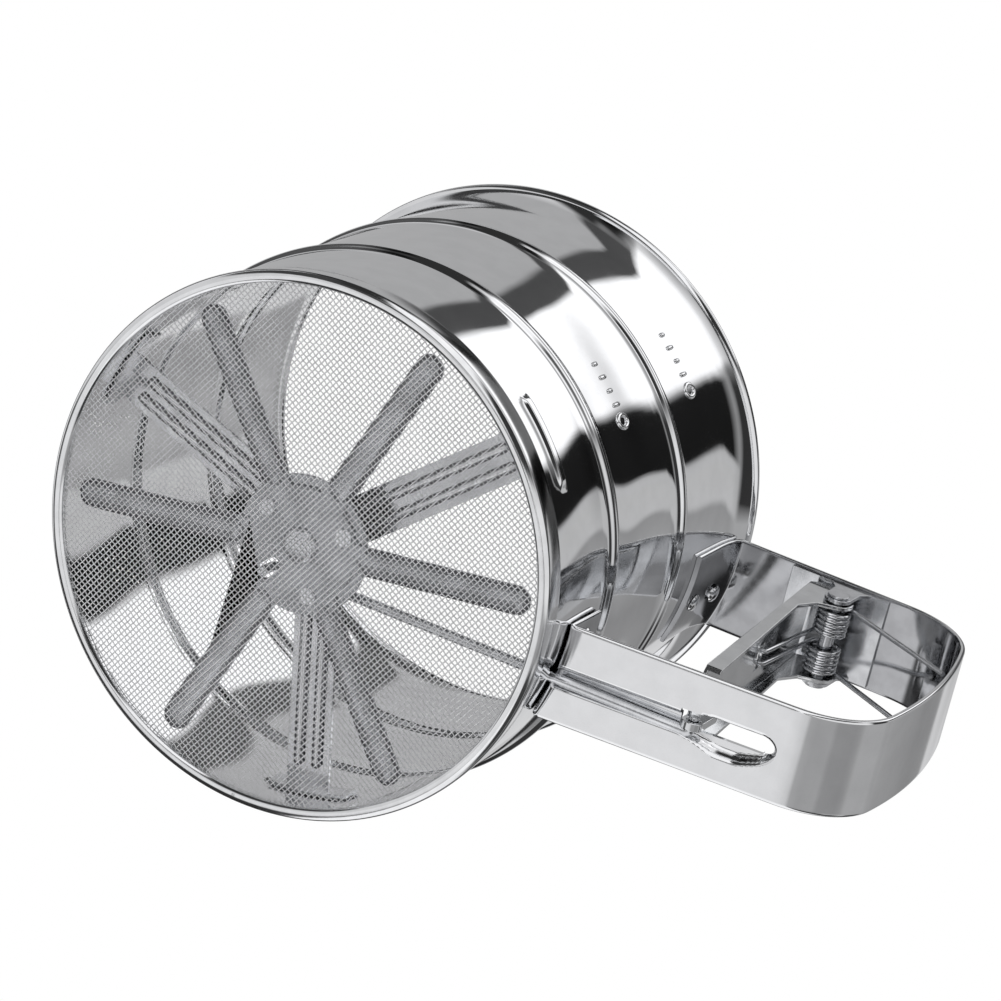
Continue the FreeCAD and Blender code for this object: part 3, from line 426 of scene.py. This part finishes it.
def ring_mark(degrees, z):
    """A raised oval ring, half sunk in the wall."""
    count, sides = 28, 10
    verts = []
    for i in range(count):
        angle = 2 * math.pi * i / count
        for k in range(sides):
            around = 2 * math.pi * k / sides
            out = RING_WIRE * math.cos(around)
            along = (RING_HALF_WIDTH + out) * math.cos(angle)
            up = (RING_HALF_HEIGHT + out) * math.sin(angle)
            verts.append(on_wall(degrees, z + up, along, RING_WIRE * 0.75 * math.sin(around)))
    return verts, closed_bands(count, sides)


marks = []
for row_z in MARK_ROWS_Z:
    marks += [tick(degrees, row_z, height) for degrees, height in TICKS]
    marks.append(ring_mark(RING_ANGLE, row_z))
add_piece("cup_measure_ticks", join(marks), "root", CHROME, sharp_angle=60)

# ------------------------------------------------------------------ base hem
LIP_ROLL, OUTER_ROLL = 0.75, 1.2    # radii of the two rolls
HEM_INSIDE, HEM_BACK = 50.0, 51.54
HEM_OUTSIDE = 52.5


def hem_profile():
    lip = arc(HEM_INSIDE + LIP_ROLL, LIP_ROLL, LIP_ROLL, start=180, end=270, steps=8)
    roll = arc(HEM_OUTSIDE - OUTER_ROLL, OUTER_ROLL, OUTER_ROLL, start=270, end=360, steps=12)
    # the skirt leans in toward the wall
    skirt = [(HEM_OUTSIDE - 0.05 * k - 0.0045 * k * k, 1.3 + k * 0.62) for k in range(1, 9)]
    shoulder = []
    for k in range(1, 7):
        angle = math.radians(k * 90 / 6)
        shoulder.append((HEM_BACK + 0.26 * math.cos(angle), 6.45 + 0.5 * math.sin(angle)))
    return lip + roll + skirt + shoulder + [(HEM_BACK, OUTER_ROLL), (HEM_INSIDE, OUTER_ROLL)]


add_piece("hem_ring", lathe(hem_profile(), 480), "root", HEM, "base_hem_ring",
          sharp_angle=40)

# ------------------------------------------------------------------ woven screen
SCREEN_RADIUS, SCREEN_Z = 51.15, 1.37
SCREEN_TURN = 33.0      # degrees from X to the first family of wires
PITCH, WIRE_RADIUS = 0.90, 0.125
WEAVE_HEIGHT = 0.13     # rise and fall of a wire at each crossing
WIRE_SECTION = ((1, 0), (0, 1), (-1, 0), (0, -1))   # sideways, up


def screen_wires(family):
    """All parallel wires of one family (0 or 1), passing over and under the other."""
    heading = math.radians(SCREEN_TURN + 90.0 * family)
    along = Vector((math.cos(heading), math.sin(heading), 0))
    across = Vector((-math.sin(heading), math.cos(heading), 0))
    wires = []
    outermost = int(SCREEN_RADIUS / PITCH)
    for row in range(-outermost, outermost + 1):
        offset = row * PITCH
        reach = math.sqrt(SCREEN_RADIUS * SCREEN_RADIUS - offset * offset)
        last = int(reach / PITCH)
        path = [(-reach, 0.0)]
        for crossing in range(-last, last + 1):
            over = (crossing + row + family) % 2
            path.append((crossing * PITCH, WEAVE_HEIGHT if over else -WEAVE_HEIGHT))
        path.append((reach, 0.0))
        verts = []
        for distance, height in path:
            centre = along * distance + across * offset + Vector((0, 0, SCREEN_Z + height))
            for side, up in WIRE_SECTION:
                verts.append(tuple(centre + across * (side * WIRE_RADIUS)
                                   + Vector((0, 0, up * WIRE_RADIUS))))
        wires.append((verts, capped_bands(len(path), len(WIRE_SECTION))))
    return join(wires)


for family, name in enumerate(("screen_warp", "screen_weft")):
    mesh = new_mesh(name, screen_wires(family))
    mesh.polygons.foreach_set("use_smooth", [True] * len(mesh.polygons))
    add_object(name, mesh, "root", WIRE, "sifting_screen")

# ------------------------------------------------------------------ handle strap
STRIP_THICKNESS = 1.0
TAB_GAP = 0.06              # between the wall and the tabs
BEND = 1.5                  # radius of the bends from the tabs to the arms
ARM_X, ARM_Z = 52.5, 13.35  # where distances along the lower arm start
UPPER_ARM_Z = 89.8
GRIP_RADIUS = 131.0
EDGE = 0.60                 # width of the rounding along each long edge
EDGE_STATIONS = [0.0, 0.05, 0.12, 0.21, 0.32, 0.45]
# The slot in the lower arm: straight from START to END, then a half circle.
SLOT_START, SLOT_END = 23.8, 40.4
SLOT_Y0, SLOT_Y1 = 6.1, 10.1
SLOT_MID, SLOT_HALF = (SLOT_Y0 + SLOT_Y1) / 2, (SLOT_Y1 - SLOT_Y0) / 2
LOOP_CENTRE_X, LOOP_CENTRE_Z = 0.080, 0.052     # inside the handle loop, metres


def strip_path():
    """Outer face of the loop, from the lower tab round to the upper tab.

    Each point is (x, z, how far the strip follows the wall's curve there).
    """
    tab_x = WALL_RADIUS + TAB_GAP
    path = [(tab_x, 25.8 - i * (25.8 - 15.2) / 11, 1.0) for i in range(12)]
    lower_bend = arc(tab_x + BEND, ARM_Z + 1.55, BEND, start=180, end=270 + ARM_ANGLE, steps=8)
    path += [(x, z, 1.0) for x, z in lower_bend[1:]]

    bend_x = path[-1][0]
    x = bend_x + 0.4
    while x < 97.0:
        path.append((x, ARM_Z + (x - ARM_X) * ARM_RISE,
                     1.0 - smoothstep(bend_x, bend_x + 16.0, x)))
        x += 0.2 if 72.0 < x < 96.6 else 0.4

    lower = arc(95.6, 33.2, radius=15.5, start=-90 + ARM_ANGLE, end=-4.8, steps=26)
    upper = arc(90.3, 72.5, radius=17.3, start=15.06, end=90.0, steps=26)
    # the grip between the corners is a shallow arc that bulges away from the cup
    start, end = Vector(lower[-1]), Vector(upper[0])
    chord = end - start
    left = Vector((-chord.y, chord.x)).normalized()
    depth = math.sqrt(GRIP_RADIUS ** 2 - (chord.length / 2) ** 2)
    centre = (start + end) / 2 + left * depth
    angles = [math.degrees(math.atan2(point.y - centre.y, point.x - centre.x))
              for point in (start, end)]
    grip = arc(centre.x, centre.y, GRIP_RADIUS, *angles, 30)
    path += [(x, z, 0.0) for x, z in lower + grip[1:] + upper[1:]]

    x = 89.5
    while x > 54.8:
        path.append((x, UPPER_ARM_Z, 1.0 - smoothstep(55.0, 70.0, x)))
        x -= 0.8
    upper_bend = arc(54.0, UPPER_ARM_Z - BEND, BEND, start=90, end=174, steps=7)
    path += [(x, z, 1.0) for x, z in upper_bend]

    tab_end = 71.5
    z = 87.6
    while z > tab_end:
        path.append((wall_radius(z) + TAB_GAP, z, 1.0))
        z -= 0.8
    path.append((wall_radius(tab_end) + TAB_GAP, tab_end, 1.0))
    return path


def press_depth(along, y):
    """How far the lower arm is pressed into the loop: a channel that widens round the slot."""
    widening = smoothstep(24.0, 31.0, along)
    low = 6.9 + (5.9 - 6.9) * widening
    high = (10.9 + (12.7 - 10.9) * smoothstep(24.0, 33.0, along)
            - 1.9 * smoothstep(35.0, 43.0, along))
    past_end = max(0.0, (along - 39.6) / 3.2)
    away = math.sqrt(((y - (low + high) / 2) / ((high - low) / 2)) ** 2 + past_end ** 2)
    return (1.45 + 0.8 * widening) * (1 - smoothstep(0.70, 1.12, away))


def in_slot(along, y):
    if along > SLOT_END:
        return math.hypot(along - SLOT_END, y - SLOT_MID) < SLOT_HALF - 1e-6
    return SLOT_START < along and SLOT_Y0 < y < SLOT_Y1


def cell_is_open(along1, along2, y1, y2):
    """Whether the slot removes the cell between two rows and two columns."""
    if along1 is None or along2 is None:
        return False
    middle = (along1 + along2) / 2
    if middle <= SLOT_END:
        return in_slot(middle, (y1 + y2) / 2)
    return all(in_slot(along, y) for along in (along1, along2) for y in (y1, y2))


def strip_rows():
    """(x, z, wall weight, normal into the loop, distance along the lower arm or None)."""
    path = strip_path()
    rows = []
    for i, (x, z, weight) in enumerate(path):
        x1, z1, _ = path[max(i - 1, 0)]
        x2, z2, _ = path[min(i + 1, len(path) - 1)]
        direction = Vector((x2 - x1, z2 - z1)).normalized()
        normal = Vector((-direction.y, direction.x))
        on_arm = z < 18.2 and 50.0 < x < 98.5 and abs(direction.y) < 0.35
        along = (x - ARM_X) / math.cos(math.radians(ARM_ANGLE)) if on_arm else None
        rows.append((x, z, weight, normal, along))
    return rows


def strip_vertex(row, y, face_side):
    """A vertex on the outer (0) or inner (1) face of the strip."""
    x, z, weight, normal, along = row
    wall_bend = weight * (math.sqrt(WALL_RADIUS ** 2 - y * y) - WALL_RADIUS)
    # the long edges are rounded over, on the outer face more than the inner
    edge = max(0.0, 1 - min(y - STRIP_Y0, STRIP_Y1 - y) / EDGE)
    rounding = (0.42 - 0.60 * face_side) * (1 - math.sqrt(1 - edge * edge))
    offset = face_side * STRIP_THICKNESS + rounding
    x += normal.x * offset
    z += normal.y * offset
    if along is not None:
        if along > SLOT_END and in_slot(along, y):
            # move the vertex out to the slot's round end
            stretch = SLOT_HALF / math.hypot(along - SLOT_END, y - SLOT_MID)
            moved = SLOT_END + (along - SLOT_END) * stretch
            y = SLOT_MID + (y - SLOT_MID) * stretch
            x += moved - along
            z += (moved - along) * ARM_RISE
            along = moved
        depth = press_depth(along, y)
        x += normal.x * depth
        z += normal.y * depth + wall_bend * ARM_RISE
    return (x + wall_bend, y, z)


def handle_strip():
    inner_y0, inner_y1 = STRIP_Y0 + EDGE, STRIP_Y1 - EDGE
    columns = [STRIP_Y0 + station for station in EDGE_STATIONS]
    columns += spread(inner_y0, SLOT_Y0, 22)
    columns += spread(SLOT_Y0, SLOT_Y1, 14)
    columns += spread(SLOT_Y1, inner_y1, 22) + [inner_y1]
    columns += [STRIP_Y1 - station for station in reversed(EDGE_STATIONS)]
    rows = strip_rows()
    width = len(columns)
    verts = [strip_vertex(row, y, face_side)
             for face_side in (0.0, 1.0) for row in rows for y in columns]

    outer = []
    for i in range(len(rows) - 1):
        for j in range(width - 1):
            if not cell_is_open(rows[i][4], rows[i + 1][4], columns[j], columns[j + 1]):
                corner, following = i * width + j, (i + 1) * width + j
                outer.append((corner, following, following + 1, corner + 1))
    # open edges get a wall between the two faces; a dict keeps the edges in order
    edges = dict.fromkeys(edge for face in outer for edge in zip(face, face[1:] + face[:1]))
    back = len(rows) * width
    walls = [(b, a, a + back, b + back) for a, b in edges if (b, a) not in edges]
    inner = [tuple(reversed([i + back for i in face])) for face in outer]
    faces = outer + inner + walls
    # drop the vertices left loose inside the slot
    live = sorted({i for face in faces for i in face})
    renumbered = {old: new for new, old in enumerate(live)}
    return [verts[i] for i in live], [tuple(renumbered[i] for i in face) for face in faces]


strip = add_piece("handle_strip", handle_strip(), "root", STRAP,
                  "handle_strap", sharp_angle=68)
# painted shade: the faces turned into the loop get a darker copy of the strap metal, standing in
# for the shade inside the loop
strip.data.materials.append(STRAP_INNER_SHADE)
for polygon in strip.data.polygons:
    centre, normal = polygon.center, polygon.normal
    inward = normal.x * (LOOP_CENTRE_X - centre.x) + normal.z * (LOOP_CENTRE_Z - centre.z)
    if abs(normal.y) < 0.55 and inward > 0:
        polygon.material_index = 1

# ------------------------------------------------------------------ push rod
ROD_START_X, ROD_END_X = -6.0, 79.1
ROD_START_Y, ROD_END_Y = 7.34, 10.05
ROD_END_Z = 15.68
ROD_START_Z = ROD_END_Z - ARM_RISE * (ROD_END_X - ROD_START_X)
rod_path = rounded([
    (ROD_START_X, ROD_START_Y, 1.95),
    (ROD_START_X, ROD_START_Y, ROD_START_Z),
    (ROD_END_X, ROD_END_Y, ROD_END_Z),
    (ROD_END_X, 6.75, ROD_END_Z)], radii=[1.9, 1.2], steps=10)
add_piece("push_rod_wire", tube(rod_path, radius=0.98, sides=20), "rod", SPRING,
          "push_rod", sharp_angle=45, bevel=0.2)

# ------------------------------------------------------------------ torsion spring
COIL_X, COIL_Z = 78.3, 81.0
COIL_Y = (STRIP_Y0 + STRIP_Y1) / 2      # the spring's middle
COIL_RADIUS, SPRING_WIRE = 2.9, 0.5
COIL_INNER, COIL_OUTER = 1.3, 6.7       # ends of each coil, from the middle
LEG_ANGLE, LOOP_ANGLE = 60.3, 176.8     # where the legs and the loop leave the coils
LEG_LENGTH, LEG_END = 31.0, 7.2
LOOP_DIRECTION, LOOP_LENGTH = Vector((-0.0558, 0, -0.9984)), 22.1
HOOK_REACH = 6.45


def on_coil(angle, y):
    return Vector((COIL_X + COIL_RADIUS * math.cos(angle), y,
                   COIL_Z + COIL_RADIUS * math.sin(angle)))


def coil_run(side):
    """A straight leg and the coil it winds into, on one side (-1 or 1) of the middle."""
    first = math.radians(LEG_ANGLE)
    root = on_coil(first, COIL_Y + side * COIL_OUTER)
    tip = root + Vector((math.sin(first), 0, -math.cos(first))) * LEG_LENGTH
    tip.y = COIL_Y + side * LEG_END
    path = [tip + (root - tip) * (i / 12) for i in range(12)]
    steps = 240
    last = LOOP_ANGLE + 360.0 * 5
    for i in range(steps + 1):
        angle = math.radians(LEG_ANGLE + (last - LEG_ANGLE) * i / steps)
        out = COIL_OUTER + (COIL_INNER - COIL_OUTER) * i / steps
        path.append(on_coil(angle, COIL_Y + side * out))
    return tube(path, SPRING_WIRE, sides=12)


def spring_loop():
    """The wire between the two coils: down, across at the hook, and back up."""
    top = on_coil(math.radians(LOOP_ANGLE), 0)
    foot = top + LOOP_DIRECTION * LOOP_LENGTH
    hook_x = COIL_X - HOOK_REACH
    y0, y1 = COIL_Y - COIL_INNER, COIL_Y + COIL_INNER
    corners = [(top.x, y0, top.z), (foot.x, y0, foot.z), (hook_x, y0, foot.z),
               (hook_x, y1, foot.z), (foot.x, y1, foot.z), (top.x, y1, top.z)]
    return tube(rounded(corners, radii=[0.8] * 4, steps=8), SPRING_WIRE, sides=12)


add_piece("spring_coils", join([coil_run(-1), coil_run(1)]), "root", SPRING,
          "torsion_spring", sharp_angle=45)
add_piece("spring_loop", spring_loop(), "trigger", SPRING, sharp_angle=45)

# ------------------------------------------------------------------ ribs on the arms, with painted shade round their roots and a painted highlight on the bracket's ribs
AGITATOR_ANGLES = [-8 + 60 * k for k in range(6)]
BRACKET_RIB_OFFSETS = (-1.9, 1.9)   # two ribs on each arm of the bracket
# name, body, material, arm angles, offsets across the arm,
# then the rib's inner radius, outer radius, half width, z and depth
RIBS = (
    ("agitator_arm_ribs", "agitator", TUMBLED, AGITATOR_ANGLES, (-0.0,),
     (12.0, 47.2, 2.15, 2.75, 0.75)),
    # painted shade: a dark strip just wider than each agitator rib, round its root
    ("agitator_arm_edge_shade", "agitator", EDGE_SHADE, AGITATOR_ANGLES, (-0.0,),
     (12.2, 47.75, 2.78, 2.8, 0.14)),
    # painted highlight: the bracket's ribs take the brighter, glossier cup metal rather than the
    # bracket's own pressed steel
    ("bracket_arm_ribs", "root", CHROME, BRACKET_ANGLES, BRACKET_RIB_OFFSETS,
     (11.2, 44.8, 0.62, 10.15, 0.55)),
    # painted shade: dark strips round the roots of the bracket's ribs
    ("bracket_rib_root_shade", "root", EDGE_SHADE, BRACKET_ANGLES, BRACKET_RIB_OFFSETS,
     (10.8, 45.2, 1.05, 10.1, 0.12)),
)


def rib(degrees, offset, inner, outer, half, z, depth):
    """A long closed rib with round ends, standing out toward -Z."""
    first, last = inner + half, outer - half    # centres of the round ends
    outline = arc(last, 0, half, start=-90, end=90, steps=12)
    outline += arc(first, 0, half, start=90, end=270, steps=12)
    cosine, sine = math.cos(math.radians(degrees)), math.sin(math.radians(degrees))
    loops, count = 6, len(outline)
    verts = []
    for k in range(loops):
        slope = k / (loops - 1) * math.pi / 2
        shrink = half * (1 - math.cos(slope)) * 0.92
        # the first loop is sunk a little into the arm
        drop = depth * math.sin(slope) - (0.05 if k == 0 else 0.0)
        for along, across in outline:
            spine = min(max(along, first), last)
            away = math.hypot(along - spine, across)
            scale = (away - shrink) / away
            x, y = spine + (along - spine) * scale, across * scale + offset
            verts.append((x * cosine - y * sine, x * sine + y * cosine, z - drop))
    faces = bands(loops, count)
    faces.append(tuple(range(count)))
    faces.append(tuple(reversed([(loops - 1) * count + i for i in range(count)])))
    return verts, faces


for name, body, material, angles, offsets, section in RIBS:
    shape = join([rib(degrees, offset, *section) for degrees in angles for offset in offsets])
    add_piece(name, shape, body, material)

# ------------------------------------------------------------------ pieces kept from the CAD
# node, body, material, slot, bevel width
CAD_PIECES = (
    ("agitator_star", "agitator", TUMBLED, "steel_inner", 0.2),
    ("crank_disc", "agitator", TUMBLED, "steel_inner", 0.15),
    ("hub_rivets", "agitator", PRESSED, "steel_inner", 0.12),
    ("spindle_bracket", "root", PRESSED, "steel_inner", 0.12),
    ("spindle_rivet", "root", PRESSED, "steel_inner", 0.1),
    ("spindle_spacer", "root", PRESSED, "steel_inner", 0.1),
    ("spindle_washers", "root", PRESSED, "steel_inner", 0.08),
    ("screen_clamp_hoop", "root", HEM, "chrome_cup", 0.08),
    ("handle_rivets", "root", STRAP, "chrome_handle", 0.1),
    ("trigger_bracket", "root", PRESSED, "steel_inner", 0.12),
    ("trigger_pin", "root", PRESSED, "steel_inner", 0.15),
    ("trigger_lever", "trigger", LEVER, "chrome_handle", 0.15),
)
for cad_piece in CAD_PIECES:
    finish_cad(*cad_piece)


# ------------------------------------------------------------------ floor
def floor_material():
    """Pale from above, clear from below, where the camera is."""
    material, tree = new_material("pale_floor")
    pale = add_node(tree, "ShaderNodeBsdfPrincipled",
                    {"Base Color": (0.86, 0.86, 0.86, 1), "Roughness": 0.8})
    clear = add_node(tree, "ShaderNodeBsdfTransparent", {})
    geometry = add_node(tree, "ShaderNodeNewGeometry", {})
    mix = add_node(tree, "ShaderNodeMixShader", {
        0: geometry.outputs["Backfacing"], 1: pale.outputs[0], 2: clear.outputs[0]})
    add_node(tree, "ShaderNodeOutputMaterial", {0: mix.outputs[0]})
    return material


def add_floor():
    half = 4    # metres
    mesh = bpy.data.meshes.new("floor")
    mesh.from_pydata([(-half, -half, 0), (half, -half, 0), (half, half, 0), (-half, half, 0)],
                     [], [(0, 1, 2, 3)])
    floor = bpy.data.objects.new("floor", mesh)
    scene.collection.objects.link(floor)
    mesh.materials.append(floor_material())
    floor.visible_glossy = False
    floor.visible_diffuse = False
    floor.visible_shadow = False
    floor.visible_transmission = False


add_floor()

# ------------------------------------------------------------------ world
# The metal mirrors a studio of bright and dark cards, painted by direction.
world = bpy.data.worlds.new("studio")
scene.world = world
world.use_nodes = True
sky = world.node_tree
sky.nodes.clear()
direction = add_node(sky, "ShaderNodeTexCoord", {}).outputs["Generated"]
separate = add_node(sky, "ShaderNodeSeparateXYZ", {0: direction})
sky_x, sky_y, sky_z = (separate.outputs[axis] for axis in "XYZ")
uneven = add_node(sky, "ShaderNodeTexNoise",
                  {"Scale": 3.2, "Detail": 1.0, "Vector": direction}).outputs["Fac"]


def calc(operation, *values):
    return add_node(sky, "ShaderNodeMath", dict(enumerate(values)),
                    operation=operation).outputs[0]


def fade(source, start, end, kind="LINEAR"):
    """0 at start to 1 at end."""
    return add_node(sky, "ShaderNodeMapRange",
                    {"From Min": start, "From Max": end, "Value": source},
                    interpolation_type=kind).outputs[0]


def ease(source, start, end):
    return fade(source, start, end, kind="SMOOTHSTEP")


def mix_colors(factor, first, second, blend_type="MIX"):
    return add_node(sky, "ShaderNodeMix", {0: factor, 6: first, 7: second},
                    data_type="RGBA", blend_type=blend_type).outputs[2]


def turn_ramp(rise, run, wobble, stops):
    """Brightness by the direction's angle in one plane, with slightly uneven borders.

    stops: (degrees, brightness); all but the first are very slightly blue.
    """
    turn = calc("ARCTAN2", rise, run)
    turn = calc("MULTIPLY_ADD", turn, 1 / (2 * math.pi), 2.0)
    turn = calc("ADD", turn, calc("MULTIPLY_ADD", uneven, wobble, -wobble / 2))
    turn = calc("FRACT", turn)
    return color_ramp(sky, turn, [
        (degrees / 360.0, (value, value, value * 1.01 if degrees else value, 1))
        for degrees, value in stops])


def card_ramp(source, stops):
    """Brightness by one component of the direction; stops: (component, brightness)."""
    return color_ramp(sky, calc("MULTIPLY_ADD", source, 0.5, 0.5), [
        ((component + 1) / 2, (value, value, value, 1)) for component, value in stops])


off_view_x = calc("ABSOLUTE", calc("ADD", sky_x, -VIEW_X))
off_view_y = calc("ABSOLUTE", calc("ADD", sky_y, -VIEW_Y))

high = turn_ramp(sky_y, sky_x, wobble=0.02, stops=[
    (0, 0.50), (15, 0.52), (18, 0.30), (34, 0.36), (60, 0.26), (78, 0.28), (82, 0.66),
    (110, 0.68), (114, 0.55), (140, 0.56), (158, 0.42), (242, 0.42), (246, 0.07), (263, 0.08),
    (267, 1.2), (323, 1.2), (327, 0.012), (353, 0.010), (356, 0.50), (360, 0.50)])
low = turn_ramp(sky_z, sky_x, wobble=0.012, stops=[
    (0, 0.33), (6, 0.40), (58, 0.40), (66, 0.30), (86, 0.30), (94, 0.62), (130, 0.85),
    (170, 0.95), (200, 0.12), (226, 0.10), (232, 0.85), (262, 0.80), (274, 0.70), (280, 0.62),
    (284, 0.40), (296, 0.36), (318, 0.37), (324, 0.30), (350, 0.28), (356, 0.30), (360, 0.33)])
# the large white card reaches far down, so the beads mirror it too
tall = turn_ramp(sky_y, sky_x, wobble=0.02, stops=[
    (0, 0.0), (262, 0.0), (267, 1.0), (323, 1.0), (327, 0.0), (360, 0.0)])
# with a darker strip half way up, which the flared rim mirrors
dark_strip = calc("MULTIPLY", fade(sky_z, 0.30, 0.38), fade(sky_z, 0.62, 0.50))
darker = calc("MULTIPLY_ADD", dark_strip, -0.85, 1.0)
tall_card = calc("MULTIPLY", calc("MULTIPLY", tall, fade(sky_z, 0.02, 0.14)), darker)
studio = mix_colors(calc("MAXIMUM", fade(sky_z, 0.62, 0.74), tall_card), low, high)

# bands by height for the cup's beads and rims, fading out toward the handle's end
by_height = card_ramp(sky_z, [
    (-1.0, 0.75), (-0.93, 1.0), (-0.50, 1.0), (-0.40, 0.85), (-0.28, 0.85), (-0.2, 1.3),
    (0.18, 1.35), (0.25, 0.10), (0.60, 0.08), (0.66, 1.0), (0.925, 1.0), (0.95, 0.10),
    (1.0, 0.15)])
off_handle = calc("MAXIMUM", fade(off_view_y, 0.10, 0.22), fade(sky_x, 0.05, -0.15))
# where the wall mirrors the large white card the beads stay pale
pale_beads = turn_ramp(sky_y, sky_x, wobble=0.0, stops=[
    (0, 1.0), (256, 1.0), (264, 0.30), (322, 0.30), (330, 1.0), (360, 1.0)])
bead_share = calc("MAXIMUM", pale_beads, fade(sky_z, 0.91, 0.93))
studio = mix_colors(calc("MULTIPLY", off_handle, bead_share), studio, by_height, "MULTIPLY")

# narrow dark cards that outline the strip's rounded edges
by_side = card_ramp(sky_y, [
    (-1.0, 0.05), (-0.74, 0.06), (-0.66, 1.0), (0.56, 1.0), (0.64, 0.06), (1.0, 0.05)])
studio = mix_colors(ease(off_view_x, 0.34, 0.20), studio, by_side, "MULTIPLY")

# large pale cards low on both sides, for the upright views
sides = turn_ramp(sky_y, sky_x, wobble=0.03, stops=[
    (0, 0.85), (26, 0.85), (32, 0.05), (62, 0.05), (68, 1.0), (110, 1.05), (116, 0.04),
    (148, 0.04), (154, 0.70), (206, 0.70), (212, 0.05), (242, 0.06), (250, 1.05), (290, 1.05),
    (298, 0.03), (326, 0.04), (334, 0.80), (360, 0.85)])
side_share = calc("MULTIPLY", ease(off_view_y, 0.08, 0.16), ease(sky_z, 0.22, 0.04))
studio = mix_colors(side_share, studio, sides)

# nearly black far out along both +Y and -Y, in a narrow band in line with the view
black_share = calc("MULTIPLY", ease(off_view_x, 0.16, 0.10),
                   ease(calc("ABSOLUTE", sky_y), 0.60, 0.68))
studio = mix_colors(black_share, studio, (0.03, 0.03, 0.03, 1))

# the camera itself sees plain white
mirrored = add_node(sky, "ShaderNodeBackground", {"Color": studio, "Strength": 1.0})
white = add_node(sky, "ShaderNodeBackground", {"Color": (1, 1, 1, 1), "Strength": 1.0})
rays = add_node(sky, "ShaderNodeLightPath", {})
seen = add_node(sky, "ShaderNodeMixShader", {
    0: rays.outputs["Is Camera Ray"], 1: mirrored.outputs[0], 2: white.outputs[0]})
add_node(sky, "ShaderNodeOutputWorld", {0: seen.outputs[0]})

# ------------------------------------------------------------------ lights
LIGHT_TARGET = Vector((0.02, 0.0, 0.045))
# name, place, size in metres, power in watts
SOFTBOXES = (
    ("softbox_front", (0.75, -0.25, -0.75), (0.5, 0.5), 6.0),
    ("softbox_top", (-0.10, -0.95, 0.25), (0.7, 0.35), 7.0),
    ("softbox_side", (0.1, 0.9, 0.45), (0.6, 0.4), 5.0),
    ("softbox_over", (0.0, 0.0, 0.95), (0.6, 0.6), 7.0),
)
for name, place, size, power in SOFTBOXES:
    light = bpy.data.lights.new(name, "AREA")
    light.shape = "RECTANGLE"
    light.size, light.size_y = size
    light.energy = power
    softbox = bpy.data.objects.new(name, light)
    softbox.location = place
    aim = LIGHT_TARGET - Vector(place)
    softbox.rotation_euler = aim.to_track_quat("-Z", "Y").to_euler()
    softbox.visible_glossy = False
    scene.collection.objects.link(softbox)

# ------------------------------------------------------------------ camera
CAMERA_PLACE = (0.36027, -0.32680, -0.78863)
VIEW_RIGHT = (0.8666, -0.2304, 0.4426)
VIEW_DOWN = (0.3491, 0.9138, -0.2078)


def add_camera():
    lens = bpy.data.cameras.new("camera")
    lens.sensor_width = 36.0
    lens.lens = 179.71
    lens.clip_start = 0.01
    lens.clip_end = 20.0
    camera = bpy.data.objects.new("camera", lens)
    scene.collection.objects.link(camera)
    right = Vector(VIEW_RIGHT).normalized()
    down = Vector(VIEW_DOWN).normalized()
    down = (down - right * down.dot(right)).normalized()
    forward = right.cross(down)
    pose = Matrix((right, -down, -forward)).transposed().to_4x4()
    pose.translation = CAMERA_PLACE
    camera.matrix_world = pose
    scene.camera = camera


add_camera()
scene.view_settings.view_transform = "Standard"
